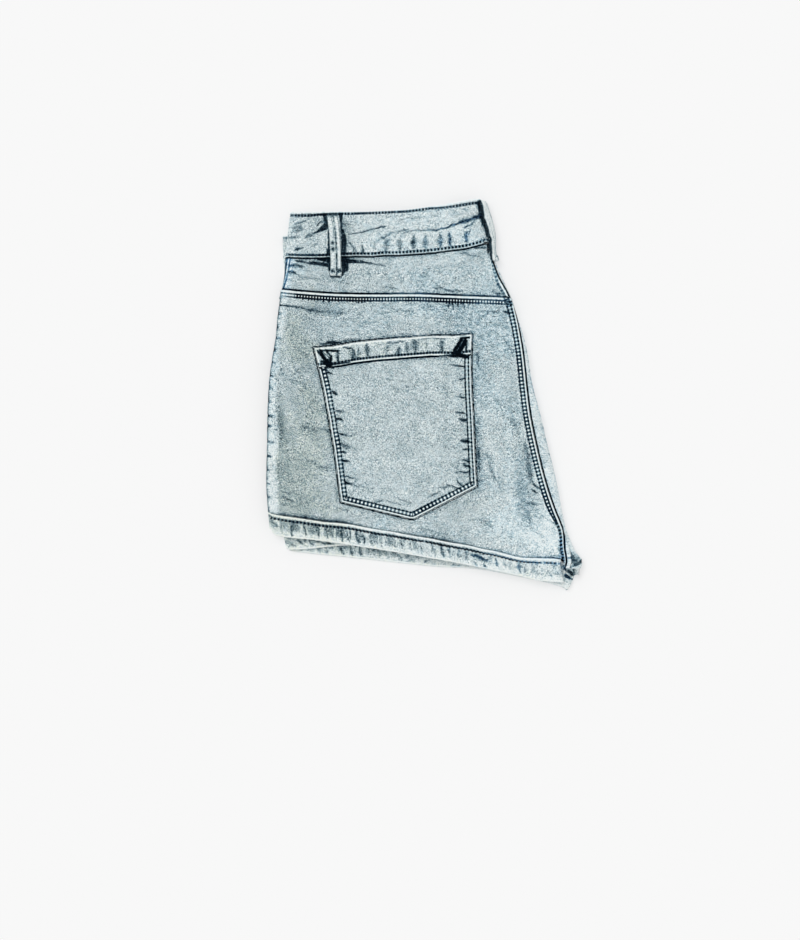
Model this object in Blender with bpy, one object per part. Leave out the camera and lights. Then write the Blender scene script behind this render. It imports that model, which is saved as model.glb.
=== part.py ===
"""Denim shorts, folded in half along the centre back and laid flat with the left back half up.

The waist points to +Y, the side seams lie at -X and the centre-back fold at +X. The origin is the
middle of the footprint, on the surface that the shorts lie on. Sizes below are millimetres.

Four layers of cloth lie on each other: left back on top, left front, right front, right back.
The left leg is the upper tube and the right leg the lower one, shifted towards the hem.
"""

import math
from bisect import bisect
from collections import namedtuple
from functools import lru_cache

import bmesh
import bpy

MM = 0.001

# Cloth thicknesses and clearances.
GAP = 0.3                 # between pieces that are sewn together
DENIM = 1.4               # one layer of washed denim, with its nap
FOLDED = 2.6              # waistband and hems, which are several layers
SKIN = GAP + DENIM        # from the hidden layers to the outside of a panel
SEAM_RISE = 0.8           # how far a felled seam stands proud
SEAM_WIDTH = 8.5          # width of a felled seam
HEM_HEIGHT = 22.0
STACK = 4                 # layers of cloth on each other

# Each line of sewing, as its height y at a place x across the shorts.
At = namedtuple("At", "x y")
WAIST_TOP = [
    At(-145, 164.4), At(-121, 164.5), At(-73, 164.5), At(-23, 165.8),
    At(13, 170.3), At(34, 174.2), At(47, 176.1), At(60, 175.6), At(80, 175.0),
]
BAND_BOTTOM = [
    At(-145, 123.8), At(-126, 123.5), At(-88, 122.6), At(-20, 125.4),
    At(14, 128.4), At(40, 131.6), At(58, 136.2), At(80, 138.0),
]
YOKE_SEAM = [
    At(-145, 95.2), At(-127, 94.6), At(-85, 91.8), At(-72, 90.0),
    At(22, 89.9), At(72, 87.5), At(100, 87.0),
]
HEM_CREASE = [
    At(-150, -102.4), At(-142, -103.8), At(-106, -111.9), At(-62, -116.2), At(-17, -125.4),
    At(44, -137.5), At(84, -145.6), At(124.4, -147.9), At(127.6, -156.4), At(150, -157.2),
]
HEM_EDGE = {
    "left_back": [
        At(-143, -116.0), At(-139.3, -121.3), At(-133.5, -126.7), At(-124, -128.6),
        At(-98, -131.2), At(-63, -136.2), At(-17, -143.5), At(44, -154.6), At(84, -163.1),
        At(104, -167.8), At(123, -169.2), At(140, -169.6),
    ],
    "left_front": [
        At(-143, -116.0), At(-139.3, -121.3), At(-133.5, -125.7), At(-76, -124.0),
        At(-4, -132.0), At(68, -149.2), At(110, -166.6), At(121, -169.5), At(140, -169.8),
    ],
    "right_front": [
        At(-140, -135.5), At(-126, -138.5), At(-122.5, -140.4), At(-105, -139.3),
        At(-69, -136.2), At(-22, -140.2), At(44, -152.8), At(86, -163.6), At(124, -173.2),
        At(134, -176.4), At(140, -177.0),
    ],
    "right_back": [
        At(-140, -135.5), At(-126, -138.5), At(-122.5, -140.8), At(-107, -142.9),
        At(-63, -147.4), At(-17, -152.5), At(14, -155.5), At(44, -157.2), At(84, -164.2),
        At(124, -173.6), At(130, -176.8), At(140, -177.0),
    ],
}

# Outlines and the centre-back seam, as x at a height y. upper: side seam edge of the left leg,
# lower: that of the right leg, seam: centre-back seam, fold: outside of the centre-back fold.
Outline = namedtuple("Outline", "y upper lower seam fold")
OUTLINES = [
    Outline(180, -120.6, -127.4, 50.0, 50.9),
    Outline(165, -121.0, -128.2, 52.7, 53.6),
    Outline(146, -122.9, -128.4, 57.3, 58.3),
    Outline(124, -125.4, -127.4, 61.9, 62.8),
    Outline(108, -126.2, -126.2, 67.9, 68.9),
    Outline(88, -129.8, -125.8, 77.0, 77.9),
    Outline(68, -132.6, -126.2, 83.0, 84.4),
    Outline(52, -134.0, -126.7, 87.5, 89.6),
    Outline(34, -137.0, -127.3, 90.4, 93.6),
    Outline(10, -140.1, -128.0, 93.7, 97.2),
    Outline(-16, -141.3, -128.5, 97.6, 104.2),
    Outline(-46, -141.9, -129.0, 104.2, 111.3),
    Outline(-79, -142.6, -129.2, 113.1, 119.3),
    Outline(-103, -141.2, -129.2, 119.9, 123.9),
    Outline(-121, -139.6, -128.2, 125.6, 127.8),
    Outline(-134, -138.0, -126.0, 129.9, 133.0),
    Outline(-142, -137.0, -124.0, 132.0, 136.8),
    Outline(-150, -136.0, -123.0, 132.2, 142.6),
    Outline(-164, -135.0, -122.0, 128.0, 138.6),
    Outline(-178, -135.0, -122.0, 127.0, 133.0),
]

# Height of the hidden layers' top, and how far the centre-back fold takes to turn down.
Depth = namedtuple("Depth", "y top fold_run")
DEPTHS = [
    Depth(180, 9.3, 4.0),
    Depth(124, 9.3, 4.0),
    Depth(90, 10.1, 4.5),
    Depth(40, 11.4, 6.0),
    Depth(-20, 11.9, 9.0),
    Depth(-80, 11.0, 8.5),
    Depth(-125, 9.7, 6.0),
    Depth(-180, 9.3, 6.0),
]
SIDE_RUN = 4.0            # how far the side fold takes to turn down
SEAM_LINE = 0.93          # height of the side seam, as a share of the hidden layers' top
WRAP_END = 2.72           # how far a panel goes round the fold, in quarter turns from 1

# Soft folds of the body, from one end to the other, with their half-width and rise.
Fold = namedtuple("Fold", "x0 y0 x1 y1 width rise")
BODY_FOLDS = [
    Fold(-120, 107, -88, 104, 12, -0.25),
    Fold(60, -20, 96, -95, 15, 0.6),
    Fold(-122, 20, -118, -70, 13, 0.5),
    Fold(54, 40, 68, -60, 13, -0.3),
    Fold(-60, -104, 40, -120, 14, 0.5),
]
BAND_FOLDS = [
    Fold(-70, 143, -34, 150, 4.5, -0.4),
    Fold(-20, 150, 14, 149, 4.5, -0.5),
    Fold(14, 149, 50, 161, 4.5, -0.9),
]

# How far the right half lies below the left half, and the front below the back.
DROP_SIDE = 21.0          # right side seam below the left one, at the waist
DROP_FRONT = 10.0         # centre front below the centre back, at the waist
CENTRE_FRONT = 34.0       # x of the centre-front fold at the waist
DROP_FROM = -125.0        # x of the side seams at the waist
DROP_TO = 55.0            # x of the centre-back fold at the waist

# Patch pocket, as corners and the points that shape its edges.
POCKET_TOP = [
    At(-99.5, 41.8), At(-83, 42.7), At(-61, 46.1), At(-22, 50.0), At(14, 52.6), At(42.8, 54.0),
]
POCKET_LEFT = [
    At(-99.5, 41.8), At(-92.5, 13.7), At(-87.0, -10.0), At(-81.5, -53.0), At(-75.6, -95.2),
]
POCKET_RIGHT = [
    At(42.8, 54.0), At(42.0, 28.0), At(42.6, 8.0), At(44.3, -18.7), At(47.7, -81.3),
]
POCKET_POINT = At(-10.4, -111.2)
POCKET_HEM_SHARE = 0.105  # depth of its turned hem, as a share of its height
POCKET_WALL = 1.2
POCKET_HEM_RISE = 0.7

# Belt loops.
LOOP_WIDTH = 9.6
LOOP_WALL = 1.9
LOOP_TOP = At(-83.2, 163.0)
LOOP_FOOT = At(-79.8, 106.8)
CENTRE_LOOP_FOOT = 124.2  # y of its lower end
CENTRE_LOOP_LIFT = 2.6    # how far it stands off the band in the middle
CENTRE_LOOP_SPAN = (1.25, 2.2)

COLLECTION = bpy.data.collections.new("denim_shorts")


def clear_scene():
    for item in list(bpy.data.objects):
        bpy.data.objects.remove(item, do_unlink=True)
    bpy.context.scene.collection.children.link(COLLECTION)


# ---------------------------------------------------------------- curves

def lerp(a, b, t):
    return a + (b - a) * t


def clamp(t):
    return min(max(t, 0.0), 1.0)


def ease(t):
    t = clamp(t)
    return t * t * (3.0 - 2.0 * t)


def smooth(keys, values):
    """Curve through the values at the keys, level where they turn, held at both ends."""
    if keys[0] > keys[-1]:
        keys = keys[::-1]
        values = values[::-1]
    slopes = [(b - a) / (d - c) for a, b, c, d in zip(values, values[1:], keys, keys[1:])]
    tangents = [slopes[0]]
    for before, after in zip(slopes, slopes[1:]):
        same = before * after > 0
        tangents.append(2 * before * after / (before + after) if same else 0.0)
    tangents.append(slopes[-1])

    def value(at):
        if at <= keys[0]:
            return values[0]
        if at >= keys[-1]:
            return values[-1]
        i = bisect(keys, at) - 1
        span = keys[i + 1] - keys[i]
        t = (at - keys[i]) / span
        return (
            values[i] * (1 + 2 * t) * (1 - t) ** 2
            + tangents[i] * span * t * (1 - t) ** 2
            + values[i + 1] * t * t * (3 - 2 * t)
            - tangents[i + 1] * span * t * t * (1 - t)
        )

    return value


def across(points):
    """A line of sewing, as y from x."""
    return smooth([p.x for p in points], [p.y for p in points])


def column(table, name):
    """A column of a table, from its y."""
    return smooth([row.y for row in table], [getattr(row, name) for row in table])


def crossing(edge, row):
    """The place where an outline, x from y, meets a row, y from x."""
    x = edge(0.0)
    for _ in range(14):
        x = lerp(x, edge(row(x)), 0.8)
    return x, row(x)


def folds(table, x, y):
    """Sum of soft straight folds at a point."""
    total = 0.0
    for f in table:
        run = (f.x1 - f.x0, f.y1 - f.y0)
        length = math.hypot(*run)
        along = ((x - f.x0) * run[0] + (y - f.y0) * run[1]) / length
        across = ((y - f.y0) * run[0] - (x - f.x0) * run[1]) / length
        past = max(0.0, -along, along - length)
        total += f.rise * math.exp(-((across / f.width) ** 2) - (past / (2 * f.width)) ** 2)
    return total


# ---------------------------------------------------------------- the folded body

waist_top = across(WAIST_TOP)
band_bottom = across(BAND_BOTTOM)
yoke_seam = across(YOKE_SEAM)
hem_crease = across(HEM_CREASE)
hem_edge = {name: across(points) for name, points in HEM_EDGE.items()}
upper_x = column(OUTLINES, "upper")
lower_x = column(OUTLINES, "lower")
centre_seam_x = column(OUTLINES, "seam")
fold_x = column(OUTLINES, "fold")
flat_top = column(DEPTHS, "top")
fold_run = column(DEPTHS, "fold_run")

# The lines that part waistband, yoke, panel and hem, from the waist down.
SEAM_LINES = (waist_top, band_bottom, yoke_seam, hem_crease)


def body_row(v):
    """The row v of the body, as y from x; v counts the seam lines from the waist down."""
    i = min(int(v), 2)

    def row(x):
        return lerp(SEAM_LINES[i](x), SEAM_LINES[i + 1](x), v - i)

    return row


@lru_cache(maxsize=None)
def row_ends(v):
    """Where row v meets the side edge and the fold, under the panels."""
    row = body_row(v)
    x_side, _ = crossing(side_edge, row)
    x_fold, y_fold = crossing(fold_edge, row)
    return x_side, x_fold, fold_run(y_fold)


def top_z(x, y):
    return flat_top(y) + folds(BODY_FOLDS, x, y)


def side_edge(y):
    return upper_x(y) + SKIN


def fold_edge(y):
    return fold_x(y) - SKIN


def seam_x(y):
    """The centre-back seam on the hidden layers, under the same place on the outside."""
    return centre_seam_x(y) - SKIN * 0.8


def skin(t, v, lift):
    """A point over the hidden layers, lifted off them.

    t is -1 at the side seam, 0 to 1 over the flat top, 2 at the outside of the centre-back fold
    and 3 at its underside. v counts the seam lines from the waist down.
    """
    row = body_row(v)
    x_side, x_fold, run = row_ends(v)
    if t < 0:
        turn = -t * math.pi / 2
        x = x_side + SIDE_RUN * (1 - math.sin(turn))
        y = row(x)
        crown = top_z(x_side + SIDE_RUN, y)
        rise = crown * (1 - SEAM_LINE)
        z = crown - rise + rise * math.cos(turn)
        nx, nz = -math.sin(turn) * rise, math.cos(turn) * SIDE_RUN
    elif t <= 1:
        x = lerp(x_side + SIDE_RUN, x_fold - run, t)
        y = row(x)
        z = top_z(x, y)
        nx, nz = 0.0, 1.0
    else:
        turn = (t - 1) * math.pi / 2
        x = x_fold - run + run * math.sin(turn)
        y = row(x)
        crown = top_z(x_fold - run, y)
        middle = (crown + SKIN) / 2
        z = middle + (crown - middle) * math.cos(turn)
        nx, nz = math.sin(turn) * (crown - middle), math.cos(turn) * run
    size = math.hypot(nx, nz)
    return x + lift * nx / size, y, z + lift * nz / size


def t_of_x(v, x):
    """The t of a place x on the top side of row v."""
    x_side, x_fold, run = row_ends(v)
    flat = x_fold - run
    if x <= flat:
        return (x - x_side - SIDE_RUN) / (flat - x_side - SIDE_RUN)
    return 1 + math.asin(min((x - flat) / run, 1.0)) / (math.pi / 2)


@lru_cache(maxsize=None)
def seam_t(v, offset):
    """The t of the centre-back seam on row v, or of a place beside it."""
    x, _ = crossing(seam_x, body_row(v))
    return t_of_x(v, x + offset)


# ---------------------------------------------------------------- mesh building

def add_object(name, mesh, colour, roughness):
    material = bpy.data.materials.new(name)
    material.use_nodes = True
    shader = material.node_tree.nodes["Principled BSDF"]
    shader.inputs["Base Color"].default_value = (*colour, 1.0)
    shader.inputs["Roughness"].default_value = roughness
    shader.inputs["Metallic"].default_value = 0.0
    mesh.materials.append(material)
    item = bpy.data.objects.new(name, mesh)
    COLLECTION.objects.link(item)
    return item


def finish_mesh(name, points, faces):
    mesh = bpy.data.meshes.new(name)
    mesh.from_pydata([[c * MM for c in p] for p in points], [], faces)
    shape = bmesh.new()
    shape.from_mesh(mesh)
    bmesh.ops.recalc_face_normals(shape, faces=shape.faces)
    shape.to_mesh(mesh)
    shape.free()
    mesh.shade_smooth()
    mesh.set_sharp_from_angle(angle=math.radians(40))
    return mesh


def box_loft(point, columns, rows, levels):
    """Closed skin of a block of points: point(i, j, k) for each i, j and k on its outside."""
    index = {}
    points = []

    def at(i, j, k):
        if (i, j, k) not in index:
            index[i, j, k] = len(points)
            points.append(point(i, j, k))
        return index[i, j, k]

    faces = []
    for k in (0, levels):
        for i in range(columns):
            for j in range(rows):
                faces.append((at(i, j, k), at(i + 1, j, k), at(i + 1, j + 1, k), at(i, j + 1, k)))
    for j in (0, rows):
        for i in range(columns):
            for k in range(levels):
                faces.append((at(i, j, k), at(i + 1, j, k), at(i + 1, j, k + 1), at(i, j, k + 1)))
    for i in (0, columns):
        for j in range(rows):
            for k in range(levels):
                faces.append((at(i, j, k), at(i, j + 1, k), at(i, j + 1, k + 1), at(i, j, k + 1)))
    return points, faces


def ring_loft(point, stations, around):
    """Closed tube of points round a closed path: point(station, place on its section)."""
    points = [point(s, a) for s in range(stations) for a in range(around)]
    faces = []
    for s in range(stations):
        for a in range(around):
            after, beside = (s + 1) % stations, (a + 1) % around
            faces.append((
                s * around + a, after * around + a,
                after * around + beside, s * around + beside,
            ))
    return points, faces


def spread(start, end, count):
    return [lerp(start, end, k / count) for k in range(count + 1)]


# ---------------------------------------------------------------- panels

DENIM_LIGHT = (0.54, 0.60, 0.61)
DENIM_EDGE = (0.66, 0.71, 0.72)
DENIM_SHADE = (0.36, 0.44, 0.46)


def panel(name, rows, t_values, rise, colour=DENIM_LIGHT):
    """A wall of cloth over the hidden layers: t_values(v) lists its stations across."""
    columns = len(t_values(rows[0])) - 1

    def point(i, j, k):
        v = rows[j]
        t = t_values(v)[i]
        lift = GAP if k == 0 else SKIN + rise(t, v)
        return skin(t, v, lift)

    points, faces = box_loft(point, columns, len(rows) - 1, 1)
    add_object(name, finish_mesh(name, points, faces), colour, 0.9)


def left_stations(v):
    """Across a left panel: round the side fold, over the top, and up on to the seam strip."""
    strip = [seam_t(v, -off) for off in (SEAM_WIDTH + 1.0, SEAM_WIDTH, 6.2, 4.4, 2.4, 1.2, 0.2)]
    return spread(-1.0, 0.0, 3)[:-1] + spread(0.0, strip[0], 16) + strip[1:]


def right_stations(v):
    """Across a right panel: from the centre-back seam round the fold to its underside."""
    return spread(seam_t(v, 0.25), WRAP_END, 8)


def seam_rise(t, v):
    """Felled centre-back seam, and the yoke seam that lies on the panel below it."""
    foot, top = seam_t(v, -SEAM_WIDTH - 1.0), seam_t(v, -SEAM_WIDTH)
    beside = ease((t - foot) / (top - foot))
    below = 0.0
    if v >= 2.0:
        x, y, _ = skin(t, v, 0.0)
        distance = yoke_seam(x) - y
        below = 1.0 - ease(distance - SEAM_WIDTH)
    return SEAM_RISE * max(beside, below)


def no_rise(t, v):
    return 0.0


YOKE_HEIGHT = 34.0
BACK_HEIGHT = 215.0
CROTCH_ROWS = [2.938, 2.955, 2.9726, 2.986]    # close rows where the fold curves out to the crotch


def make_panels():
    yoke_rows = spread(1.0 + 0.35 / YOKE_HEIGHT, 2.0 - 0.15 / YOKE_HEIGHT, 5)
    seam_end = 2.0 + SEAM_WIDTH / BACK_HEIGHT
    back_rows = [2.0 + 0.15 / BACK_HEIGHT, seam_end]
    back_rows += spread(seam_end + 1.2 / BACK_HEIGHT, 2.9, 15)
    back_rows += CROTCH_ROWS + [3.0 - 0.15 / BACK_HEIGHT]
    panel("yoke_left", yoke_rows, left_stations, seam_rise)
    panel("back_left", back_rows, left_stations, seam_rise)
    panel("yoke_right", yoke_rows, right_stations, no_rise, DENIM_EDGE)
    panel("back_right", back_rows, right_stations, no_rise, DENIM_EDGE)


# ---------------------------------------------------------------- hidden layers

# Levels of the hidden layers from the surface up: height as a share of the top, and the layer.
Level = namedtuple("Level", "share layer")
LEVELS = [
    Level(0.0, 0), Level(0.13, 0), Level(0.295, 0),
    Level(0.33, 1), Level(0.48, 1), Level(0.64, 1),
    Level(0.675, 2), Level(0.77, 2), Level(0.86, 2), Level(0.895, 2), Level(1.0, 2),
]
LOWER_LOBE = 0.655        # top of the lower leg's fold, as a share
FRONT_LOBE = {0.675: 1.0, 0.77: -1.2, 0.86: -1.5}  # left front's fold, out from the side edge
CAP_COLUMNS = [0.0, 0.5, 1.6, SIDE_RUN]
SETTLE = 0.3              # how far the hidden layers lie below what the panels rest on
FOLD_COLUMNS = [17.0, 12.0, 8.0, 3.5, 0.0]
COLUMNS = 20
ROWS = 22
WAIST_CLEARANCE = 0.4
FLAT_INSET = 2.4          # the underside's edge, in from where the right panel ends


def waist_drop(layer, x):
    """How far a layer of the waist lies below the top one."""
    if layer == 3:
        return 0.0
    s = clamp((x - DROP_FROM) / (DROP_TO - DROP_FROM))
    f = clamp((x - DROP_FROM) / (CENTRE_FRONT - DROP_FROM))
    return (lerp(DROP_SIDE, 0.0, s), lerp(DROP_SIDE, DROP_FRONT, f), lerp(0.0, DROP_FRONT, f))[layer]


LEG_LAYERS = ("right_back", "right_front", "left_front", "left_back")
LEFT_HEM_END = (122.9, 125.8)    # inner end of the left leg's hem, at its crease and its edge
RIGHT_HEM_END = (134.8, 130.5)
LEG_CLEARANCE = 1.2
CROTCH_TIP = -153.5       # y where all layers end at the centre-back fold
FRONT_CORNER = -162.6     # y of the left front's corner at the crotch, beyond the hem's end


def leg_end(layer, x):
    """Where a hidden layer meets its hem, and the crotch corner beyond the hem's end."""
    crease = hem_edge[LEG_LAYERS[layer]](x) + HEM_HEIGHT + LEG_CLEARANCE
    if layer == 2:
        corner = ease((x - LEFT_HEM_END[1] - 0.8) / 2.5)
        crease = lerp(crease, FRONT_CORNER, corner)
    return crease


def waist_start(layer, x):
    """Where a hidden layer meets the waistband; beyond the centre-front fold nothing is in its way."""
    beyond = ease((x - CENTRE_FRONT - 9.0) / 5.0)
    drop = waist_drop(layer, x) * (1.0 if layer == 0 else 1.0 - beyond)
    return band_bottom(x) - drop - WAIST_CLEARANCE


def hidden_row(layer, w):
    return lambda x: lerp(waist_start(layer, x), leg_end(layer, x), w)


def hidden_fold_row(w):
    """The row along the centre-back fold, where all layers turn together."""
    return lambda x: lerp(band_bottom(x) - WAIST_CLEARANCE, CROTCH_TIP, w)


def hidden_point(i, j, k):
    level = LEVELS[k]
    row = hidden_row(level.layer, j / ROWS)
    fold_row = hidden_fold_row(j / ROWS)
    x_fold, y_fold = crossing(fold_edge, fold_row)
    run = fold_run(y_fold)
    crown = flat_top(y_fold)
    z_fold = crown * level.share
    middle = (crown + SKIN) / 2
    reach = math.sqrt(max(0.0, 1.0 - ((z_fold - middle) / (crown - middle)) ** 2))
    wrap_x = math.sin((WRAP_END - 1) * math.pi / 2)
    x_fold -= SETTLE
    if z_fold < SKIN + 1.0:
        x_right = x_fold - run * (1 - wrap_x) - FLAT_INSET
    else:
        x_right = x_fold - run * (1 - reach)
    if level.layer < 2:
        off_middle = (level.share - LOWER_LOBE / 2) / (LOWER_LOBE / 2)
        inset = 3.0 * (1 - math.sqrt(1 - min(off_middle ** 2, 0.98)))
        x_left, _ = crossing(lambda y: lower_x(y) + inset, row)
    else:
        x_side, _ = crossing(side_edge, row)
        x_left = x_side + FRONT_LOBE.get(level.share, 0.0)
    to_right = FOLD_COLUMNS[i - COLUMNS - 1] if i > COLUMNS - len(FOLD_COLUMNS) else None
    if i < len(CAP_COLUMNS):
        x = x_left + CAP_COLUMNS[i]
    elif to_right is not None:
        x = x_right - to_right
    else:
        step = (i - len(CAP_COLUMNS) + 1) / (COLUMNS - len(CAP_COLUMNS) - len(FOLD_COLUMNS) + 2)
        x = lerp(x_left + CAP_COLUMNS[-1], x_right - FOLD_COLUMNS[0], step)
    y = fold_row(x) if i == COLUMNS else row(x)
    z = flat_top(y) * level.share
    if level.share == 1.0:
        z -= SETTLE
        if i < len(CAP_COLUMNS):
            rise = z * (1 - SEAM_LINE)
            turn = 1 - CAP_COLUMNS[i] / SIDE_RUN
            z = z - rise + rise * math.sqrt(1 - turn * turn)
    return x, y, z


def make_hidden_layers():
    points, faces = box_loft(hidden_point, COLUMNS, ROWS, len(LEVELS) - 1)
    add_object("hidden_layers", finish_mesh("hidden_layers", points, faces), DENIM_SHADE, 0.95)


# ---------------------------------------------------------------- folded rings

# A run is a straight stretch of one layer, a turn the half circle that joins two layers. facing is 1
# where the outside of the cloth faces up, or away from the turn's centre, and -1 where it doesn't.
Run = namedtuple("Run", "layer start end facing")
Turn = namedtuple("Turn", "first second edge way facing")

# Places across a band from its upper to its lower edge, each with its share of the thickness.
HEM_ACROSS = ((0.0, 0.55), (0.07, 1.0), (0.36, 1.0), (0.66, 1.0), (0.93, 1.0), (1.0, 0.55))
BAND_ACROSS = (
    (0.0, 0.55), (0.06, 1.0), (0.2, 1.0), (0.34, 1.0), (0.48, 1.0),
    (0.62, 1.0), (0.78, 1.0), (0.94, 1.0), (1.0, 0.55),
)


def layer_z(layer, x, y):
    """Middle of a folded layer in a stack whose top layer lies on top_z."""
    low = FOLDED / 2
    high = top_z(x, y) + GAP + FOLDED / 2
    return lerp(low, high, layer / (STACK - 1))


def turn_frame(turn, lines, w):
    """Centre and signed radius of a turn's half circle at a place w across the band."""
    x = turn.edge(w)
    y = lines(turn.first, x, w)
    z0 = layer_z(turn.first, x, y)
    z1 = layer_z(turn.second, x, y)
    radius = (z1 - z0) / 2
    return x - turn.way * (abs(radius) + FOLDED / 2), (z0 + z1) / 2, radius


def turn_point(turn, amount, lines, w, out):
    x_centre, z_centre, radius = turn_frame(turn, lines, w)
    angle = math.pi * amount
    reach = 1 + turn.facing * out / abs(radius)
    x = x_centre + turn.way * math.sin(angle) * abs(radius) * reach
    z = z_centre - math.cos(angle) * radius * reach
    y = lerp(lines(turn.first, x, w), lines(turn.second, x, w), ease(amount))
    return x, y, z


def run_point(run, amount, lines, w, out):
    x0, _, _ = turn_frame(run.start, lines, w)
    x1, _, _ = turn_frame(run.end, lines, w)
    x = lerp(x0, x1, amount)
    y = lines(run.layer, x, w)
    z = layer_z(run.layer, x, y) + run.facing * out
    if out > 0 and run.layer == STACK - 1:
        z += folds(BAND_FOLDS, x, y)
    return x, y, z


def folded_ring(name, loop, lines, per_run, across_band):
    """A band of cloth round a closed loop of runs and turns; lines(layer, x, w) gives its y."""
    steps = []
    for part in loop:
        count = per_run if isinstance(part, Run) else 5
        steps += [(part, k / count) for k in range(count)]
    section = [(w, share / 2) for w, share in across_band]
    section += [(w, -share / 2) for w, share in reversed(across_band)]

    def point(station, place):
        part, amount = steps[station]
        w, out = section[place]
        make = run_point if isinstance(part, Run) else turn_point
        return make(part, amount, lines, w, out * FOLDED)

    points, faces = ring_loft(point, len(steps), len(section))
    add_object(name, finish_mesh(name, points, faces), DENIM_LIGHT, 0.9)


def waist_lines(layer, x, w):
    return lerp(waist_top(x), band_bottom(x), w) - waist_drop(layer, x)


def waist_edge(outline, layer):
    def edge(w):
        return crossing(outline, lambda x: waist_lines(layer, x, w))[0]

    return edge


def make_waistband():
    """One ring, folded in four: left back, centre back, right back, right front, left front."""
    centre_back = Turn(3, 0, waist_edge(fold_x, 3), 1, 1)
    right_side = Turn(0, 1, waist_edge(lower_x, 0), -1, 1)
    centre_front = Turn(1, 2, lambda w: CENTRE_FRONT, 1, -1)
    left_side = Turn(2, 3, waist_edge(upper_x, 3), -1, 1)
    loop = [
        Run(3, left_side, centre_back, 1), centre_back,
        Run(0, centre_back, right_side, -1), right_side,
        Run(1, right_side, centre_front, 1), centre_front,
        Run(2, centre_front, left_side, -1), left_side,
    ]
    folded_ring("waistband", loop, waist_lines, 14, BAND_ACROSS)


HEM_SIDE = -140.9         # x of the left hem's side fold
HEM_CORNER = 6.4          # how much the rounded corner takes off the hem's height there
HEM_CORNER_RUN = 9.0


def hem_lines(layer, x, w):
    edge = hem_edge[LEG_LAYERS[layer]](x)
    crease = edge + HEM_HEIGHT
    if layer == 2:
        crease -= HEM_CORNER * (1.0 - ease((x - HEM_SIDE) / HEM_CORNER_RUN))
    if layer == 3:
        crease = hem_crease(min(x, LEFT_HEM_END[0])) - GAP
    return lerp(crease, edge, w)


def make_hem(name, low, outline, inner_end):
    """One leg's hem, a flattened ring of two layers."""
    high = low + 1

    def side(w):
        return crossing(outline, lambda x: hem_lines(high, x, w))[0]

    def inseam(w):
        return lerp(inner_end[0], inner_end[1], w * w)

    inner = Turn(high, low, inseam, 1, 1)
    outer = Turn(low, high, side, -1, 1)
    loop = [Run(high, outer, inner, 1), inner, Run(low, inner, outer, -1), outer]
    folded_ring(name, loop, hem_lines, 18, HEM_ACROSS)


# ---------------------------------------------------------------- pocket and belt loops

pocket_top = across(POCKET_TOP)
pocket_left_x = column(POCKET_LEFT, "x")
pocket_right_x = column(POCKET_RIGHT, "x")


def pocket_edges(s, w):
    """A place on the pocket: s from its left to its right edge, w from its top to its lower edge."""
    top_x = lerp(POCKET_TOP[0].x, POCKET_TOP[-1].x, s)
    top_y = pocket_top(top_x)
    corner = POCKET_LEFT[-1] if s < POCKET_SPLIT else POCKET_RIGHT[-1]
    part = s / POCKET_SPLIT if s < POCKET_SPLIT else (1 - s) / (1 - POCKET_SPLIT)
    foot_x = lerp(corner.x, POCKET_POINT.x, part)
    foot_y = lerp(corner.y, POCKET_POINT.y, part)
    y = lerp(top_y, foot_y, w)
    bows = []
    for line, edge in ((POCKET_LEFT, pocket_left_x), (POCKET_RIGHT, pocket_right_x)):
        bows.append(edge(lerp(line[0].y, line[-1].y, w)) - lerp(line[0].x, line[-1].x, w))
    return lerp(top_x, foot_x, w) + lerp(bows[0], bows[1], s), y


POCKET_SPLIT = 0.53       # where the point lies across the pocket
POCKET_COLUMNS = 14
POCKET_ROWS = 13


def make_pocket():
    rows = [0.0, 0.012, POCKET_HEM_SHARE, POCKET_HEM_SHARE + 0.012]
    rows += spread(rows[-1], 1.0, POCKET_ROWS - 3)[1:]
    left = spread(0.0, POCKET_SPLIT, POCKET_COLUMNS // 2)
    columns = left + spread(POCKET_SPLIT, 1.0, POCKET_COLUMNS // 2)[1:]

    def point(i, j, k):
        x, y = pocket_edges(columns[i], rows[j])
        z = top_z(x, y) + SKIN + GAP
        if k:
            z += POCKET_WALL + (POCKET_HEM_RISE if 1 <= j <= 2 else 0.0)
        return x, y, z

    points, faces = box_loft(point, len(columns) - 1, len(rows) - 1, 1)
    add_object("pocket_left", finish_mesh("pocket_left", points, faces), DENIM_LIGHT, 0.9)


LOOP_CROWN = ((-1.0, 0.55), (-0.8, 1.0), (0.0, 1.15), (0.8, 1.0), (1.0, 0.55))
BAND_OUT = GAP + FOLDED
LOOP_STEP = 3.0           # length over which the loop steps down off the band


def loop_base(y, x):
    """Height under the left loop: on the band, then down on to the yoke."""
    off = ease((band_bottom(x) - 1.2 - y) / LOOP_STEP)
    return top_z(x, y) + GAP + lerp(BAND_OUT, SKIN, off)


def make_left_loop():
    ys = [LOOP_TOP.y, LOOP_TOP.y - 1.0] + spread(LOOP_TOP.y - 10, 126.0, 4)
    ys += [123.0, 121.5, 120.0, 118.5, 113.0, LOOP_FOOT.y + 1.0, LOOP_FOOT.y]
    rows = len(ys) - 1

    def point(i, j, k):
        y = ys[j]
        bow = 1.2 * math.sin(math.pi * (LOOP_TOP.y - y) / (LOOP_TOP.y - LOOP_FOOT.y))
        middle = lerp(LOOP_TOP.x, LOOP_FOOT.x, (LOOP_TOP.y - y) / (LOOP_TOP.y - LOOP_FOOT.y)) + bow
        side, crown = LOOP_CROWN[i]
        x = middle + side * LOOP_WIDTH / 2
        z = loop_base(y, middle)
        end = 0.6 if j in (0, rows) else 1.0
        return x, y, z + k * LOOP_WALL * crown * end

    points, faces = box_loft(point, len(LOOP_CROWN) - 1, rows, 1)
    add_object("belt_loop_left", finish_mesh("belt_loop_left", points, faces), DENIM_EDGE, 0.9)


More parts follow.
